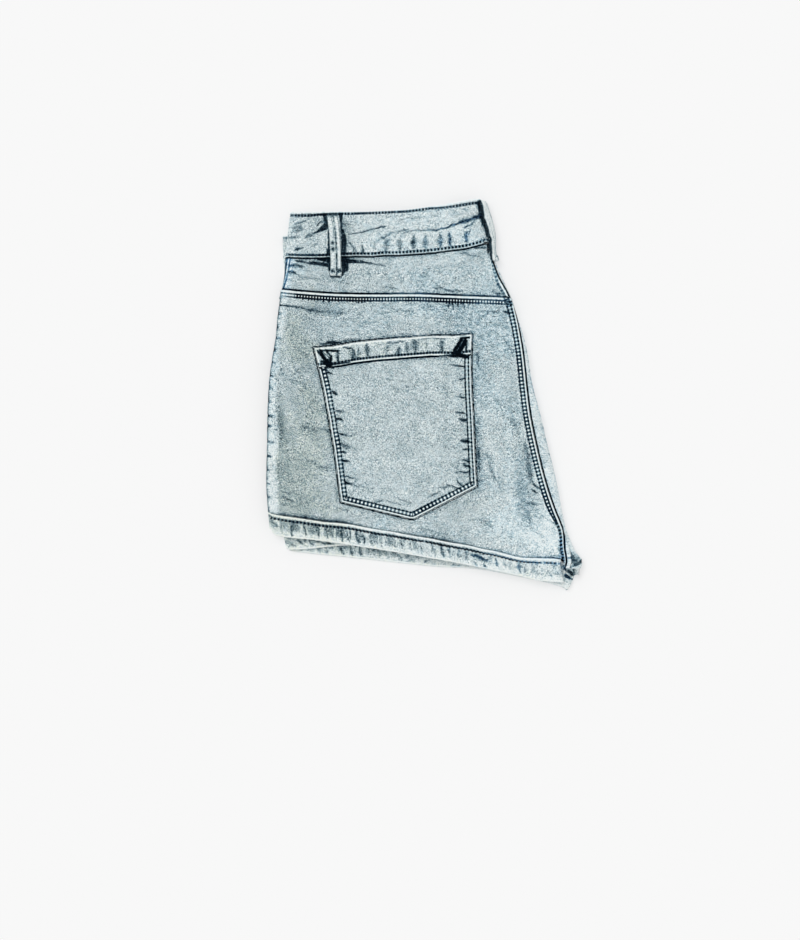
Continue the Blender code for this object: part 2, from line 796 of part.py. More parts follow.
def make_centre_loop():
    """The loop on the centre-back fold, which stands off the band between its two ends."""
    v_end = 1.0 - (CENTRE_LOOP_FOOT - 138.0) / 34.0
    rows = [0.03, 0.06] + spread(0.12, 0.92, 6) + [1.06, 1.2, v_end - 0.04, v_end]

    def point(i, j, k):
        v = rows[j]
        side, crown = LOOP_CROWN[i]
        t = lerp(CENTRE_LOOP_SPAN[0], CENTRE_LOOP_SPAN[1], (side + 1) / 2)
        stand = CENTRE_LOOP_LIFT * math.sin(math.pi * clamp(v / 1.1)) ** 0.8
        base = GAP + lerp(BAND_OUT, SKIN + SEAM_RISE + 0.1, ease((v - 1.06) / 0.1))
        return skin(t, v, base + stand + k * LOOP_WALL * crown)

    points, faces = box_loft(point, len(LOOP_CROWN) - 1, len(rows) - 1, 1)
    add_object("belt_loop_centre", finish_mesh("belt_loop_centre", points, faces), DENIM_EDGE, 0.9)


def main():
    clear_scene()
    make_waistband()
    make_panels()
    make_hidden_layers()
    make_hem("hem_left", 2, upper_x, LEFT_HEM_END)
    make_hem("hem_right", 0, lower_x, RIGHT_HEM_END)
    make_pocket()
    make_left_loop()
    make_centre_loop()


main()
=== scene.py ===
"""Looks of the folded denim shorts: acid-washed cloth, sewing, creases, and the studio round them.

Places are millimetres in the part's own frame and become metres where a mesh is made: +X towards the
centre-back fold, +Y towards the waist, +Z up. Each piece of cloth is a thin shell on the form of the
node that it replaces, worked out from the same lines as the part, with finer relief.
"""

import math
from collections import namedtuple

import bpy
import numpy as np
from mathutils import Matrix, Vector
from mathutils.bvhtree import BVHTree


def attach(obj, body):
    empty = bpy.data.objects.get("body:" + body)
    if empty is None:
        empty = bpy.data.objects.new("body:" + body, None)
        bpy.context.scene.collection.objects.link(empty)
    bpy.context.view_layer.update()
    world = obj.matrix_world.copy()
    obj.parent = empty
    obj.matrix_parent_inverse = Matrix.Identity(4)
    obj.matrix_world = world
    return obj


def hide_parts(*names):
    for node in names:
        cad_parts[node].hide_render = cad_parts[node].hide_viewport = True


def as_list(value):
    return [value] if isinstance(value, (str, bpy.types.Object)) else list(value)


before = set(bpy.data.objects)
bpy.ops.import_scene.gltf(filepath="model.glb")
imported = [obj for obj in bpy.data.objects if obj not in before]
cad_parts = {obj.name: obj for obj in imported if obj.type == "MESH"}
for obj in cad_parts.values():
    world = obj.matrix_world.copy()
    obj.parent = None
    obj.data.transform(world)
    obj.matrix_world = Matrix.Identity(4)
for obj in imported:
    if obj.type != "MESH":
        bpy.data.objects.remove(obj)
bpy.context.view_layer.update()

MM = 0.001
BODY = "root"


def table(kind, *rows):
    """A table's rows, each with its values named."""
    return [kind(*row) for row in rows]


# ---------------------------------------------------------------- the part's own sizes and lines

GAP = 0.3                 # between pieces that are sewn together
DENIM = 1.4
FOLDED = 2.6              # waistband and hems, which are several layers
SKIN = GAP + DENIM        # from the hidden layers to the outside of a panel
SEAM_RISE = 0.8
SEAM_WIDTH = 8.5
BAND_HEIGHT = 39.0
HEM_HEIGHT = 22.0
STACK = 4

# Seams and edges, as places along them.
At = namedtuple("At", "x y")
WAIST_TOP = table(
    At, (-145, 164.4), (-121, 164.5), (-73, 164.5), (-23, 165.8), (13, 170.3), (34, 174.2), (47, 176.1),
    (60, 175.6), (80, 175),
)
BAND_BOTTOM = table(
    At, (-145, 123.9), (-120, 123.5), (-108, 123.1), (-96, 123.1), (-72, 124.2), (-60, 124.6),
    (-48, 124.5), (-36, 125.5), (-24, 125.6), (-12, 126.3), (0, 127.1), (12, 128.3), (24, 129.9),
    (36, 131.4), (47, 134.1), (58, 136.9), (80, 138.7),
)
YOKE_SEAM = table(
    At, (-145, 95), (-129, 94.5), (-117, 93.3), (-105, 92.3), (-93, 91.4), (-81, 90.7), (-69, 90.4),
    (-57, 90.1), (-33, 90.1), (-21, 90.3), (-9, 90.3), (3, 90), (15, 89.4), (27, 89), (39, 88.5),
    (51, 88.1), (63, 87.7), (75, 86.9), (100, 86.5),
)
HEM_CREASE = table(
    At, (-150, -104.5), (-136, -107.2), (-124, -109.3), (-113, -110.7), (-101, -112.5), (-89, -114.3),
    (-77, -115.2), (-65, -116.7), (-53, -119.1), (-41, -121.3), (-30, -122.9), (-18, -125.2),
    (-6, -127.3), (6, -129.1), (17, -131.5), (29, -133.6), (41, -135.7), (53, -138.6), (64, -140.6),
    (76, -143.7), (88, -146.2), (100, -146.8), (112, -147), (124.4, -147.9), (127.6, -156.4),
    (150, -157.2),
)
HEM_EDGE = {
    "left_back": table(
        At, (-143, -116), (-139.3, -121.3), (-133.5, -126.7), (-124, -128.6), (-98, -131.2),
        (-63, -136.2), (-17, -143.5), (44, -154.6), (84, -163.1), (104, -167.8), (123, -169.2),
        (140, -169.6),
    ),
    "left_front": table(
        At, (-143, -116), (-139.3, -121.3), (-133.5, -125.7), (-76, -124), (-4, -132), (68, -149.2),
        (110, -166.6), (121, -169.5), (140, -169.8),
    ),
    "right_front": table(
        At, (-140, -135.5), (-126, -138.5), (-122.5, -140.4), (-105, -139.3), (-69, -136.2),
        (-22, -140.2), (44, -152.8), (86, -163.6), (124, -173.2), (134, -176.4), (140, -177),
    ),
    "right_back": table(
        At, (-140, -135.5), (-126, -138.5), (-122.5, -140.8), (-107, -142.9), (-63, -147.4),
        (-17, -152.5), (14, -155.5), (44, -157.2), (84, -164.2), (124, -173.6), (130, -176.8),
        (140, -177),
    ),
}
# By y: x of the side of the upper layers and of the lower ones, of the centre-back seam and the fold.
Outline = namedtuple("Outline", "y upper lower seam fold")
OUTLINES = table(
    Outline, (180, -120.6, -127.4, 49.7, 50.9), (165, -121, -128.2, 52.4, 53.6),
    (146, -122.9, -128.4, 57, 58.3), (124, -125.4, -127.4, 61.6, 62.8), (108, -126.2, -126.2, 66.9, 68.9),
    (88, -129.8, -125.8, 77.3, 77.9), (68, -132.6, -126.2, 83, 84.4), (52, -134, -126.7, 86.1, 89.6),
    (34, -137, -127.3, 88.9, 93.6), (10, -140.1, -128, 91.4, 97.2), (-16, -141.3, -128.5, 94.6, 104.2),
    (-46, -141.9, -129, 100.6, 111.3), (-79, -142.6, -129.2, 108.9, 119.3),
    (-103, -141.2, -129.2, 116.9, 123.9), (-121, -139.6, -128.2, 124.4, 127.8),
    (-134, -138, -126, 129, 133), (-142, -137, -124, 131.4, 136.8), (-150, -136, -123, 132.2, 142.6),
    (-164, -135, -122, 128, 138.6), (-178, -135, -122, 127, 133),
)
# By y: height of the hidden layers' top, and how far the centre-back fold takes to turn down.
Depth = namedtuple("Depth", "y top fold_run")
DEPTHS = table(
    Depth, (180, 9.3, 4), (124, 9.3, 4), (90, 10.1, 4.5), (40, 11.4, 6), (-20, 11.9, 9), (-80, 11, 8.5),
    (-125, 9.7, 6), (-180, 9.3, 6),
)
SIDE_RUN = 4.0            # how far the side fold takes to turn down
SEAM_LINE = 0.93          # height of the side seam, as a share of the hidden layers' top
WRAP_END = 2.72           # how far a panel goes round the fold, in quarter turns from 1

# Soft straight folds, from one end to the other: their width and how high they stand.
Fold = namedtuple("Fold", "x0 y0 x1 y1 width rise")
BODY_FOLDS = table(
    Fold, (-120, 107, -88, 104, 12, -0.25), (60, -20, 96, -95, 15, 0.6), (-122, 20, -118, -70, 13, 0.5),
    (54, 40, 68, -60, 13, -0.3), (-60, -104, 40, -120, 14, 0.5),
)
BAND_FOLDS = table(
    Fold, (-70, 143, -34, 150, 4.5, -0.4), (-20, 150, 14, 149, 4.5, -0.5), (14, 149, 50, 161, 4.5, -0.9),
)
DROP_SIDE = 21.0          # right side seam below the left one, at the waist
DROP_FRONT = 10.0         # centre front below the centre back, at the waist
CENTRE_FRONT = 34.0
DROP_FROM = -125.0
DROP_TO = 55.0
POCKET_TOP = table(
    At, (-99.5, 42), (-83, 43.2), (-61, 46.9), (-22, 50.6), (14, 52.8), (24, 52.6), (42.8, 54.2),
)
POCKET_LEFT = table(
    At, (-99.5, 42), (-92.7, 13.7), (-89.9, 1), (-87.8, -11), (-85.4, -23), (-83.8, -34), (-81.6, -46),
    (-78.4, -70), (-74.9, -96.8),
)
POCKET_RIGHT = table(At, (42.8, 54.2), (41.9, 28), (42.3, 8), (43.7, -18.7), (45.6, -59), (47, -82.6))
POCKET_POINT = At(-10.4, -112.4)
POCKET_SPLIT = 0.53
POCKET_WALL = 1.2
POCKET_HEM_RISE = 0.7
LOOP_WIDTH = 9.6
LOOP_WALL = 1.9
LOOP_TOP = At(-83.2, 163.0)
LOOP_FOOT = At(-79.8, 106.8)
LOOP_BOW = 1.2
CENTRE_LOOP_FOOT = 124.2
CENTRE_LOOP_LIFT = 2.6
CENTRE_LOOP_SPAN = (1.25, 2.2)
BAND_OUT = GAP + FOLDED

# ---------------------------------------------------------------- sewing, creases, wear and painted shade

# A seam's rows of stitches: the middle of its two rows from its edge, half the distance between them
# and the distance from one stitch to the next. A single row has no half.
Sewing = namedtuple("Sewing", "middle half pitch")
YOKE_SEWING = Sewing(4.5, 1.4, 2.63)
CENTRE_SEWING = Sewing(4.1, 1.55, 3.29)
POCKET_SEWING = Sewing(4.0, 1.6, 3.58)
YOKE_CENTRE_SEWING = Sewing(0.0, 0.0, 3.29)
SIDE_SEWING = Sewing(1.4, 1.3, 3.0)
BAND_TOP_SEWING = Sewing(2.1, 0.0, 3.03)
BAND_LOW_SEWING = Sewing(2.1, 0.0, 3.19)
HEM_SEWING = Sewing(4.5, 0.0, 3.4)
POCKET_HEM_SEWING = Sewing(2.8, 0.0, 2.9)
STITCH = 0.8              # share of the pitch that a stitch covers
THREAD = 0.42             # radius of the thread
BOLD_STITCH = 0.6         # the same for the band's and the hem's rows, which are single
BOLD_THREAD = 1.0
GROOVE = 0.35             # how deep a row of stitches sinks in
LINE_STEP = 3.0           # between the points of a line of sewing
STROKE_GAIN = 1.35        # how much darker a crease is than its table says
TROUGH = 0.42             # how deep a crease is, for how dark it is
INDIGO = 0.62             # how much a crease or mark takes off the fade
BASE_FADE = 0.745
BASE_TINT = 0.1
COARSE = 4                # a hidden face is this many times coarser than the one that shows

# Creases and puckers, from one end to the other: full width, and how dark the unfaded dye in them is.
# Each is a soft trough as deep as it is dark.
Stroke = namedtuple("Stroke", "x0 y0 x1 y1 width ink")
BAND_CREASES = table(
    Stroke, (-98, 145.8, -87.8, 150.9, 1.6, 0.95), (-96.8, 151.8, -91.4, 156.1, 1.2, 0.6),
    (-115.7, 153.6, -108.5, 155.4, 1.8, 0.5), (-118.4, 150, -109.4, 148.9, 2.2, 0.42),
    (-118, 147, -110.3, 147.4, 1.4, 0.5), (-120.4, 140.6, -113.5, 141.3, 2, 0.5),
    (-106.7, 141.5, -97.8, 146, 2.2, 0.55), (-116.6, 130, -110.6, 131.6, 1.8, 0.75),
    (-100.4, 133.4, -96.8, 136.1, 1.6, 0.35), (-68, 144.2, -52.6, 146.7, 1.1, 0.65),
    (-52.6, 146.7, -36, 151.2, 1.2, 0.9), (-41.9, 138.4, -29.2, 145.6, 1.8, 0.45),
    (-29.2, 145.6, -14.8, 148.3, 1.6, 0.5), (-22.1, 143.3, -10.9, 147.8, 1.1, 0.45),
    (-10.9, 147.8, 8.6, 147.3, 1.6, 0.45), (8.1, 147.2, 19.4, 150.5, 1.5, 0.85),
    (19.4, 150.5, 31.1, 154.1, 1.8, 1), (30.2, 153.8, 41, 157.4, 2.1, 1),
    (41, 157.4, 50.9, 160.4, 2.9, 1.1), (36, 150.1, 44.6, 154.6, 1.3, 0.7),
    (-22.1, 157.7, 0.5, 159.5, 1.1, 0.3), (-17.6, 164, 14, 165.4, 0.9, 0.25),
    (34.6, 165.8, 39.6, 166.3, 1.4, 0.4), (-67, 136.1, -60.8, 128.5, 1.8, 0.5),
    (-55.9, 133, -55.5, 127.5, 2, 0.9), (-63.5, 133.4, -63.9, 128, 1.4, 0.5),
    (-44.1, 136.6, -44.6, 130.7, 1.6, 0.45), (-34.3, 137.9, -34.6, 130.7, 4.2, 0.5),
    (-21.7, 138.8, -22.2, 131.1, 3.2, 0.5), (-9.6, 141.5, -10, 133, 3.8, 0.7),
    (0.8, 140.6, 0.6, 133.4, 3.4, 0.55), (14.3, 142.9, 14, 135.2, 3.4, 0.65),
    (22.4, 144.2, 23.1, 135.2, 2.8, 0.75), (37.7, 145.5, 38.1, 138.4, 3, 0.6),
    (41, 148.7, 40.1, 144.2, 1.1, 0.5), (50, 138.8, 53.6, 139.7, 1.4, 0.6),
)
YOKE_CREASES = table(
    Stroke, (-115.2, 120.4, -103, 117.9, 1.4, 0.8), (-103, 117.9, -86.9, 115.9, 2, 1.15),
    (-74.2, 120.1, -64.4, 120.1, 2.3, 1.2), (-64.4, 120.1, -52.6, 118.7, 1.7, 0.8),
    (-52.6, 118.7, -35.6, 115.4, 1.8, 0.4), (-120.5, 116.4, -112, 115.2, 2.8, 0.85),
    (-121.5, 110.6, -115.7, 108.7, 2.4, 0.85), (45.5, 132.3, 56.2, 132.2, 1.5, 0.65),
    (31.9, 128, 49.1, 124, 1.4, 0.3), (19.4, 93.3, 33.8, 93.1, 1.4, 0.6),
    (6.8, 96.5, 19.4, 94.3, 1.4, 0.35), (60.8, 92.9, 73.4, 89.3, 1.2, 0.5),
    (-37.4, 97.4, -24.8, 95.2, 1.4, 0.3), (-112, 106.4, -95.9, 103.7, 2.2, 0.2),
)
BACK_CREASES = table(
    Stroke, (-131, 80.3, -120.2, 79.4, 1.4, 0.9), (-120.2, 79.4, -106.7, 76.9, 1.4, 0.65),
    (-106.7, 76.9, -90.5, 74, 2, 0.5), (-90.5, 74, -71.5, 73.1, 1.8, 0.25),
    (-25.7, 76.3, -10.3, 74.5, 1.3, 0.3), (71.1, 74.6, 77, 73.5, 1.6, 0.95),
    (-92.2, 45.8, -76, 46.8, 2.1, 0.95), (-76, 47.5, -58.1, 49.7, 1.4, 0.45),
    (21.2, 82.1, 22.1, 77.6, 1.1, 0.55), (24.8, 82.1, 25.7, 76.3, 1.1, 0.6),
    (30.2, 82.1, 30.6, 78.5, 1.1, 0.5), (34.6, 82.1, 35.6, 76.7, 1.2, 0.6),
    (39.1, 82.1, 40.1, 77.6, 1.1, 0.5), (43.6, 82.1, 44.1, 79.4, 1.1, 0.4),
    (51.8, 74.9, 68, 73.1, 1.3, 0.35), (91.8, -52.4, 94.5, -54.7, 1.6, 0.8),
    (90.9, -46.6, 95.9, -77.2, 4, 0.42), (98, -81.2, 103, -84.6, 1.6, 0.9),
    (96.4, -86.5, 100.7, -88.3, 1.4, 0.75), (92, -98.2, 100, -98.8, 2.6, 0.4),
    (93.6, -105.1, 95.9, -120.4, 3.4, 0.25), (49.1, -112.3, 59.9, -117.7, 2.9, 0.24),
    (40.1, -112.3, 60.8, -114.5, 1.1, 0.3), (59, -64.6, 62.6, -75.4, 2.7, 0.34),
    (56.2, -53.8, 60.8, -61.9, 2.7, 0.3), (48.7, -49.3, 49.6, -67.3, 2.3, 0.55),
    (48.1, 38, 48.1, 25.4, 1.6, 0.4), (-129.2, -12, -129.7, -40, 5, 0.16),
    (-105.8, -59.2, -97.7, -62.3, 2.3, 0.2), (-94, -64.6, -86.9, -65.9, 2.5, 0.22),
    (-112, -27.7, -95.9, -33.1, 2.2, 0.22), (-95.9, -30.4, -81.5, -34.9, 1.6, 0.3),
    (111.2, -110.5, 118.4, -117.7, 1.1, 0.4), (104.9, -109.6, 113.9, -114.1, 1.1, 0.35),
    (118.4, -134.8, 122.9, -142, 2, 0.45), (99.5, -124, 108.5, -128.5, 1.4, 0.3),
    (-82.4, -100.6, -65.2, -106, 1.4, 0.25), (-128.2, -92.5, -119.2, -95.2, 1.8, 0.35),
    (-127.4, -88, -114.8, -89.8, 1.4, 0.25), (-4, -120.4, 20.2, -126.7, 1.4, 0.25),
    (-112, 38, -104, 34.4, 2, 0.25), (-121, 12.8, -106.7, 9.2, 2.2, 0.2),
    (72.5, 48.8, 78.8, 38, 2.5, 0.3), (60.8, -0.7, 68, -8.8, 2.7, 0.2),
    (78.8, -23.2, 85, -35.8, 2.7, 0.25),
)
POCKET_CREASES = table(
    Stroke, (-77.9, 39.4, -77.9, 29.2, 2, 0.5), (-72.5, 42, -65.2, 41.3, 1.2, 0.75),
    (-64.4, 38.9, -63.9, 30.8, 3.2, 0.5), (-59.9, 39.8, -59.4, 32.1, 2.6, 0.35),
    (-51.8, 43.3, -51.5, 35.7, 3, 0.5), (-33.8, 42.5, -33.8, 36.2, 3, 0.35),
    (-23.1, 40.8, -23.3, 34.6, 3.2, 0.5), (-15.8, 44.7, -15.8, 38, 2.6, 0.45),
    (-9, 47.9, -8.5, 38.9, 4.2, 0.4), (15.5, 47.4, 15.7, 39.4, 3, 0.45), (-5, 50, 19.4, 50.4, 0.9, 0.55),
    (-33.8, 46.1, -17.6, 47.4, 0.9, 0.5), (1.4, 45.2, 3.1, 39.8, 1.8, 0.25),
    (-94.2, 39.8, -87.3, 28.6, 2, 1.2), (-87.8, 39.5, -76, 39.1, 1.2, 1),
    (-84, 34.4, -83.6, 24.5, 1.6, 1.2), (-91.9, 29.2, -83.7, 24.7, 2.3, 1.3),
    (-89, 39.8, -85, 34.4, 1.4, 1), (37.7, 51.2, 29.8, 37.1, 2, 1.3), (33.2, 51.2, 27.1, 39.8, 1.8, 1.2),
    (31.9, 51.7, 41, 51.5, 1.1, 1.1), (26.6, 34.8, 39.1, 33.3, 1.7, 1.3),
    (37.4, 50.6, 36.5, 38, 1.1, 0.8), (-82.8, 2.2, -78.8, 0.4, 1.6, 0.9),
    (-78.8, -14.4, -74.2, -15.8, 1.2, 0.8), (-79.3, -21.9, -73.4, -23.7, 1.4, 0.95),
    (-76, -35.1, -65.2, -37.9, 1.3, 0.85), (-86.9, 19.5, -82.4, 18.6, 1.2, 0.7),
    (-75.2, -44.8, -62.6, -48.9, 3.1, 0.42), (-73.7, -51.6, -70.7, -52.5, 1.4, 0.85),
    (-72.5, -59.7, -68, -60.6, 1.6, 0.95), (-69.8, -73.8, -59, -76.3, 1.4, 0.65),
    (-71.2, -79, -65.2, -80.8, 1.8, 1), (-65.2, -80.8, -53.6, -84, 1.2, 0.6),
    (23.9, 26.3, 35.2, 25.2, 1.4, 0.9), (31.1, 13.7, 35.4, 13.5, 1.3, 0.75),
    (30.2, -1.9, 36.5, -2.5, 1.3, 0.6), (28.7, -16.3, 36.1, -17.4, 1.4, 0.8),
    (31.4, -22.3, 36.8, -23.4, 1.6, 0.9), (32.9, -41.4, 40.6, -42.6, 1.6, 0.95),
    (34.6, -49.3, 41, -49.5, 1.4, 0.85), (34.6, -59.2, 41, -60.1, 1.6, 0.7),
    (35.6, -62.8, 41.5, -66.4, 1.6, 0.7), (27.4, -70, 41.9, -69.6, 1.1, 0.6),
    (20.2, -81.7, 33.8, -85.3, 1.4, 0.6), (29.2, -78.1, 34.6, -82.6, 1.6, 0.7),
    (-1.4, -88, 14, -84.4, 1.1, 0.2), (-47.2, -97, -36.5, -95.2, 1.3, 0.3),
    (-65.2, -82.6, -61.6, -77.2, 1.4, 0.4), (-35.6, -95.2, -22.1, -98.8, 1.1, 0.35),
    (-22.9, -93.4, -12.2, -97.9, 1.6, 0.55), (3.1, -92.5, 13.1, -88, 1.4, 0.5),
    (14.8, -84.4, 24.8, -82.6, 1.4, 0.5), (-36.5, 14.6, -27.4, 12.3, 1, 0.5),
    (-56.2, -3.4, -47.2, -7, 1.4, 0.22), (-29.2, 7.4, -22.1, 2.9, 1.6, 0.22),
    (-4, -41.2, 7.7, -46.6, 1.8, 0.15),
)
HEM_CREASES = table(
    Stroke, (-139.1, -114.1, -132.8, -118.1, 2.3, 0.5), (-128.8, -114.1, -127.7, -124, 1.8, 0.45),
    (-119.4, -115.4, -118.9, -126.7, 2.3, 0.8), (-108.8, -117.2, -106.3, -126.7, 1.4, 0.75),
    (-95.9, -118.6, -94.6, -127.6, 1.8, 0.7), (-87.9, -119.5, -87.2, -128.5, 1.8, 0.7),
    (-83.2, -121.3, -82.4, -129.4, 1.3, 0.4), (-74.6, -121.3, -73.7, -131.2, 2.3, 0.95),
    (-69.4, -123.1, -68, -132.1, 1.6, 0.6), (-61.3, -123.1, -59, -133, 2, 0.95),
    (-55.5, -125.8, -54.1, -133.9, 1.8, 0.75), (-49.6, -127.6, -47.2, -134.3, 1.8, 0.55),
    (-40.4, -129.4, -38.2, -136.1, 1.6, 0.45), (-27.4, -131.2, -25.7, -137.5, 1.8, 0.4),
    (-21, -132.1, -19.7, -137.5, 1.8, 0.5), (-13.1, -133.9, -12.2, -139.3, 1.6, 0.4),
    (-3.1, -135.7, -2.2, -142.9, 1.4, 0.35), (6.8, -135.7, 9.5, -144.7, 2, 0.42),
    (14.8, -135.7, 17.2, -145.6, 2.3, 0.7), (22.1, -137.5, 22.6, -146, 1.6, 0.6),
    (30.5, -138.8, 31.1, -146, 1.4, 0.6), (36.5, -140.6, 38.2, -147.4, 2, 0.5),
    (43.6, -144.2, 55.4, -149.7, 2.9, 0.95), (45.1, -151, 47.2, -154.6, 1.6, 0.6),
    (53.6, -152.8, 55.7, -156.4, 1.4, 0.6), (64.4, -148.8, 65.2, -153.7, 2, 0.7),
    (71.5, -151, 73.4, -154.6, 1.8, 0.4), (84.2, -151.9, 86, -159.1, 2.3, 0.8),
    (89.5, -155.5, 90.5, -159.1, 1.6, 0.5), (97.7, -154.6, 98.9, -159.1, 2, 0.5),
    (111.7, -159.1, 113.9, -163.6, 2, 0.4), (119.8, -159.1, 121, -162.7, 1.8, 0.35),
    (104, -154.6, 104.9, -160, 1.4, 0.25),
)
RIGHT_FRONT_CREASES = table(
    Stroke, (-125.5, -132.1, -117.5, -136.1, 2.7, 0.5), (-113.9, -131.6, -110.8, -133.9, 1.8, 0.9),
    (-103.4, -132.5, -100.4, -135.7, 1.6, 0.85), (-98.5, -133, -81.5, -135.1, 1.4, 0.85),
    (-124.7, -140, -108.5, -140.4, 0.9, 0.5), (-122.9, -137.5, -119.2, -133, 1.4, 0.3),
)
RIGHT_BACK_CREASES = table(
    Stroke, (-114, -140.2, -109.5, -140.5, 1.3, 0.9), (-95.5, -138, -94, -143.5, 3, 0.6),
    (-89, -139.5, -87.5, -144.5, 2.6, 0.5), (-104, -140, -102, -142.5, 2.2, 0.4),
    (-94.4, -139.8, -93.2, -142, 1.6, 0.5), (-76.4, -137.9, -73, -143.8, 2.2, 0.95),
    (-67, -137.9, -64.7, -144.7, 2, 0.85), (-59, -138.4, -56.2, -145.6, 2, 0.8),
    (-51.2, -137.9, -50.3, -141.1, 1.6, 0.6), (-42.2, -141.1, -40.1, -146.5, 1.8, 0.5),
    (-35, -142.4, -32.9, -147.4, 1.8, 0.5), (-25.7, -144.2, -20.8, -149.5, 2.2, 0.7),
    (-15.8, -147, -9.5, -150.6, 2, 0.7), (-0.5, -150.1, 10.3, -153.7, 1.6, 0.6),
    (-103, -141.5, -99.5, -143.3, 1.4, 0.4), (11.2, -152.3, 31.9, -155, 1.2, 0.6),
)
# Creases of the right back, which lies face down.
UNDERSIDE_CREASES = table(
    Stroke, (-104, 66, -82, 60, 5, 0.35), (-92, 40, -70, 46, 6, 0.3), (20, 66, 42, 60, 5, 0.35),
    (-110, -30, -92, -38, 6, 0.3), (-112, -62, -96, -72, 5, 0.35), (52, 8, 60, -16, 6.5, 0.35),
    (70, -48, 78, -80, 7, 0.4), (30, -96, 52, -104, 5.5, 0.3), (-64, -84, -40, -92, 5, 0.25),
    (-30, -104, 0, -112, 6, 0.3), (86, -104, 100, -118, 6, 0.4), (-24, 30, 6, 22, 7, 0.2),
)
# Painted soft bands of shade at the crotch corner, beyond the end of the left leg's hem.
CORNER_SHADE_BANDS = table(Stroke, (132, -142, 138, -148, 4.2, 0.4), (128, -160, 133, -163, 5, 0.25))
# Short dark dashes on the side seam: height, how far they reach in, and how dark they are.
Dash = namedtuple("Dash", "y reach ink")
SIDE_DASHES = table(
    Dash, (73, 2.3, 0.6), (61, 1.4, 0.5), (51, 4, 0.65), (40, 2, 0.6), (29, 3.1, 0.6), (17, 2.2, 0.7),
    (6, 3.4, 0.55), (-6, 2.2, 0.6), (-19, 4.1, 0.9), (-28, 2.7, 0.8), (-42, 5.8, 0.7), (-55, 3.8, 0.9),
    (-68, 2.2, 0.6), (-80, 2.9, 0.5), (-92, 3.1, 0.5),
)
# Solid dark marks: bar tacks, and painted shadow in gaps and deep folds, with the width at each end.
Bar = namedtuple("Bar", "x0 y0 x1 y1 start end ink")
POCKET_TACKS = table(
    Bar, (-97.2, 39.8, -87.8, 29.9, 1.8, 3.1, 1.05), (-86.6, 29.5, -86, 26.8, 5.4, 5.4, 1.1),
    (-93.2, 39.4, -77.9, 38.7, 1.3, 1.3, 0.85), (-77.4, 36, -77.4, 30.5, 1.6, 1.4, 0.3),
    (-83.2, 26.7, -67, 28.7, 2, 0.9, 0.9), (-91.4, 25, -85, 19.1, 1.8, 0.9, 0.8),
    (-90, 36.7, -84.2, 31.3, 0.9, 1.8, 0.8), (-94.5, 40.7, -91.4, 36.2, 1.3, 1.3, 0.9),
    (32.9, 50.6, 40.1, 51.2, 2.5, 1.8, 1.1), (33.3, 48.4, 27.3, 38.5, 3.1, 3.4, 1.1),
    (37.4, 47.9, 31.9, 38.9, 2.9, 3.1, 1.05), (26.6, 36.7, 40.1, 33.5, 3.9, 2.9, 1.1),
    (14, 34.4, 26.6, 34.9, 1.3, 2, 0.95), (37.8, 47, 38.1, 38.9, 1.8, 1.3, 0.45),
)
TACK_GLINTS = table(
    Bar, (35.4, 48.6, 29.6, 39.6, 1.5, 1.1, 1.1), (-91.8, 38, -85.5, 31.7, 1.3, 0.7, 0.9),
    (-95.9, 28.1, -90.5, 25, 1.3, 1.1, 0.8), (38.2, 37.1, 41.9, 37.6, 1.4, 1.4, 0.6),
)
# Round the left belt loop: painted shadow in the gaps beside it and under its foot, with unfaded dye.
LOOP_SHADOW_AND_DYE_BARS = table(
    Bar, (-90.5, 163.6, -88, 153.2, 2.6, 4.2, 1.05), (-96.8, 146, -89, 150.7, 1.6, 6.2, 1.05),
    (-94, 154.5, -88.2, 154.2, 0.7, 2.2, 0.7), (-86.2, 148, -86, 129.8, 1.7, 1.8, 1.05),
    (-86.5, 129.8, -86.2, 119, 3.6, 4.3, 1.05), (-86, 119, -85.4, 111.8, 3.4, 2.2, 1.05),
    (-85.4, 111.8, -84.2, 106.2, 1.6, 1.1, 1.05), (-103, 119, -93.2, 118.1, 1.1, 2.3, 0.95),
    (-93.2, 118.1, -85, 116.2, 2.3, 3.6, 1.05), (-95.9, 121.3, -86, 120.6, 1, 4.2, 1.05),
    (-75.2, 164, -75.2, 156, 3.6, 2.6, 1.05), (-75, 156, -74.7, 145, 1.8, 2, 1),
    (-73.6, 147.5, -72.8, 141, 2.2, 4.6, 1.05), (-72.8, 142, -72.5, 119, 4.6, 5.2, 1.05),
    (-71.8, 119.5, -71.3, 113.6, 6.8, 6.3, 1.1), (-71.9, 113.6, -74.2, 107, 5, 1.8, 1.05),
    (-70.7, 120.2, -59.9, 119.4, 4.1, 2.6, 1.05), (-59.9, 119.4, -47.2, 118.1, 2.3, 1.1, 0.75),
    (-84.2, 105.9, -74.7, 105.7, 1.1, 1.1, 1),
)
# Painted shadow in the gaps between the layers at the crotch corner, and on their shaded inner sides.
CORNER_SHADOWS = table(
    Bar, (126.7, -157.4, 131.5, -160.3, 1.6, 3.6, 1.15), (131.5, -160.3, 137.3, -164.2, 3.6, 2.2, 1.15),
    (127.2, -162.9, 131, -165.6, 3.2, 2.7, 1.15), (131, -165.6, 133.8, -167.2, 2, 1.3, 1.1),
    (135.2, -167.7, 136.2, -167.9, 1.1, 1.1, 1), (130.9, -155.4, 136, -153.7, 1.3, 2.4, 1.05),
    (136, -153.7, 141.2, -150.4, 3.2, 4, 1.1), (131.6, -143, 134.8, -150.5, 2.2, 6.4, 0.95),
    (134.8, -148, 139, -147, 3.4, 2.2, 0.8), (125.6, -153.5, 126.6, -157.4, 1.3, 1.3, 0.9),
    (136.5, -159, 139, -161, 2.6, 1.6, 0.3),
)
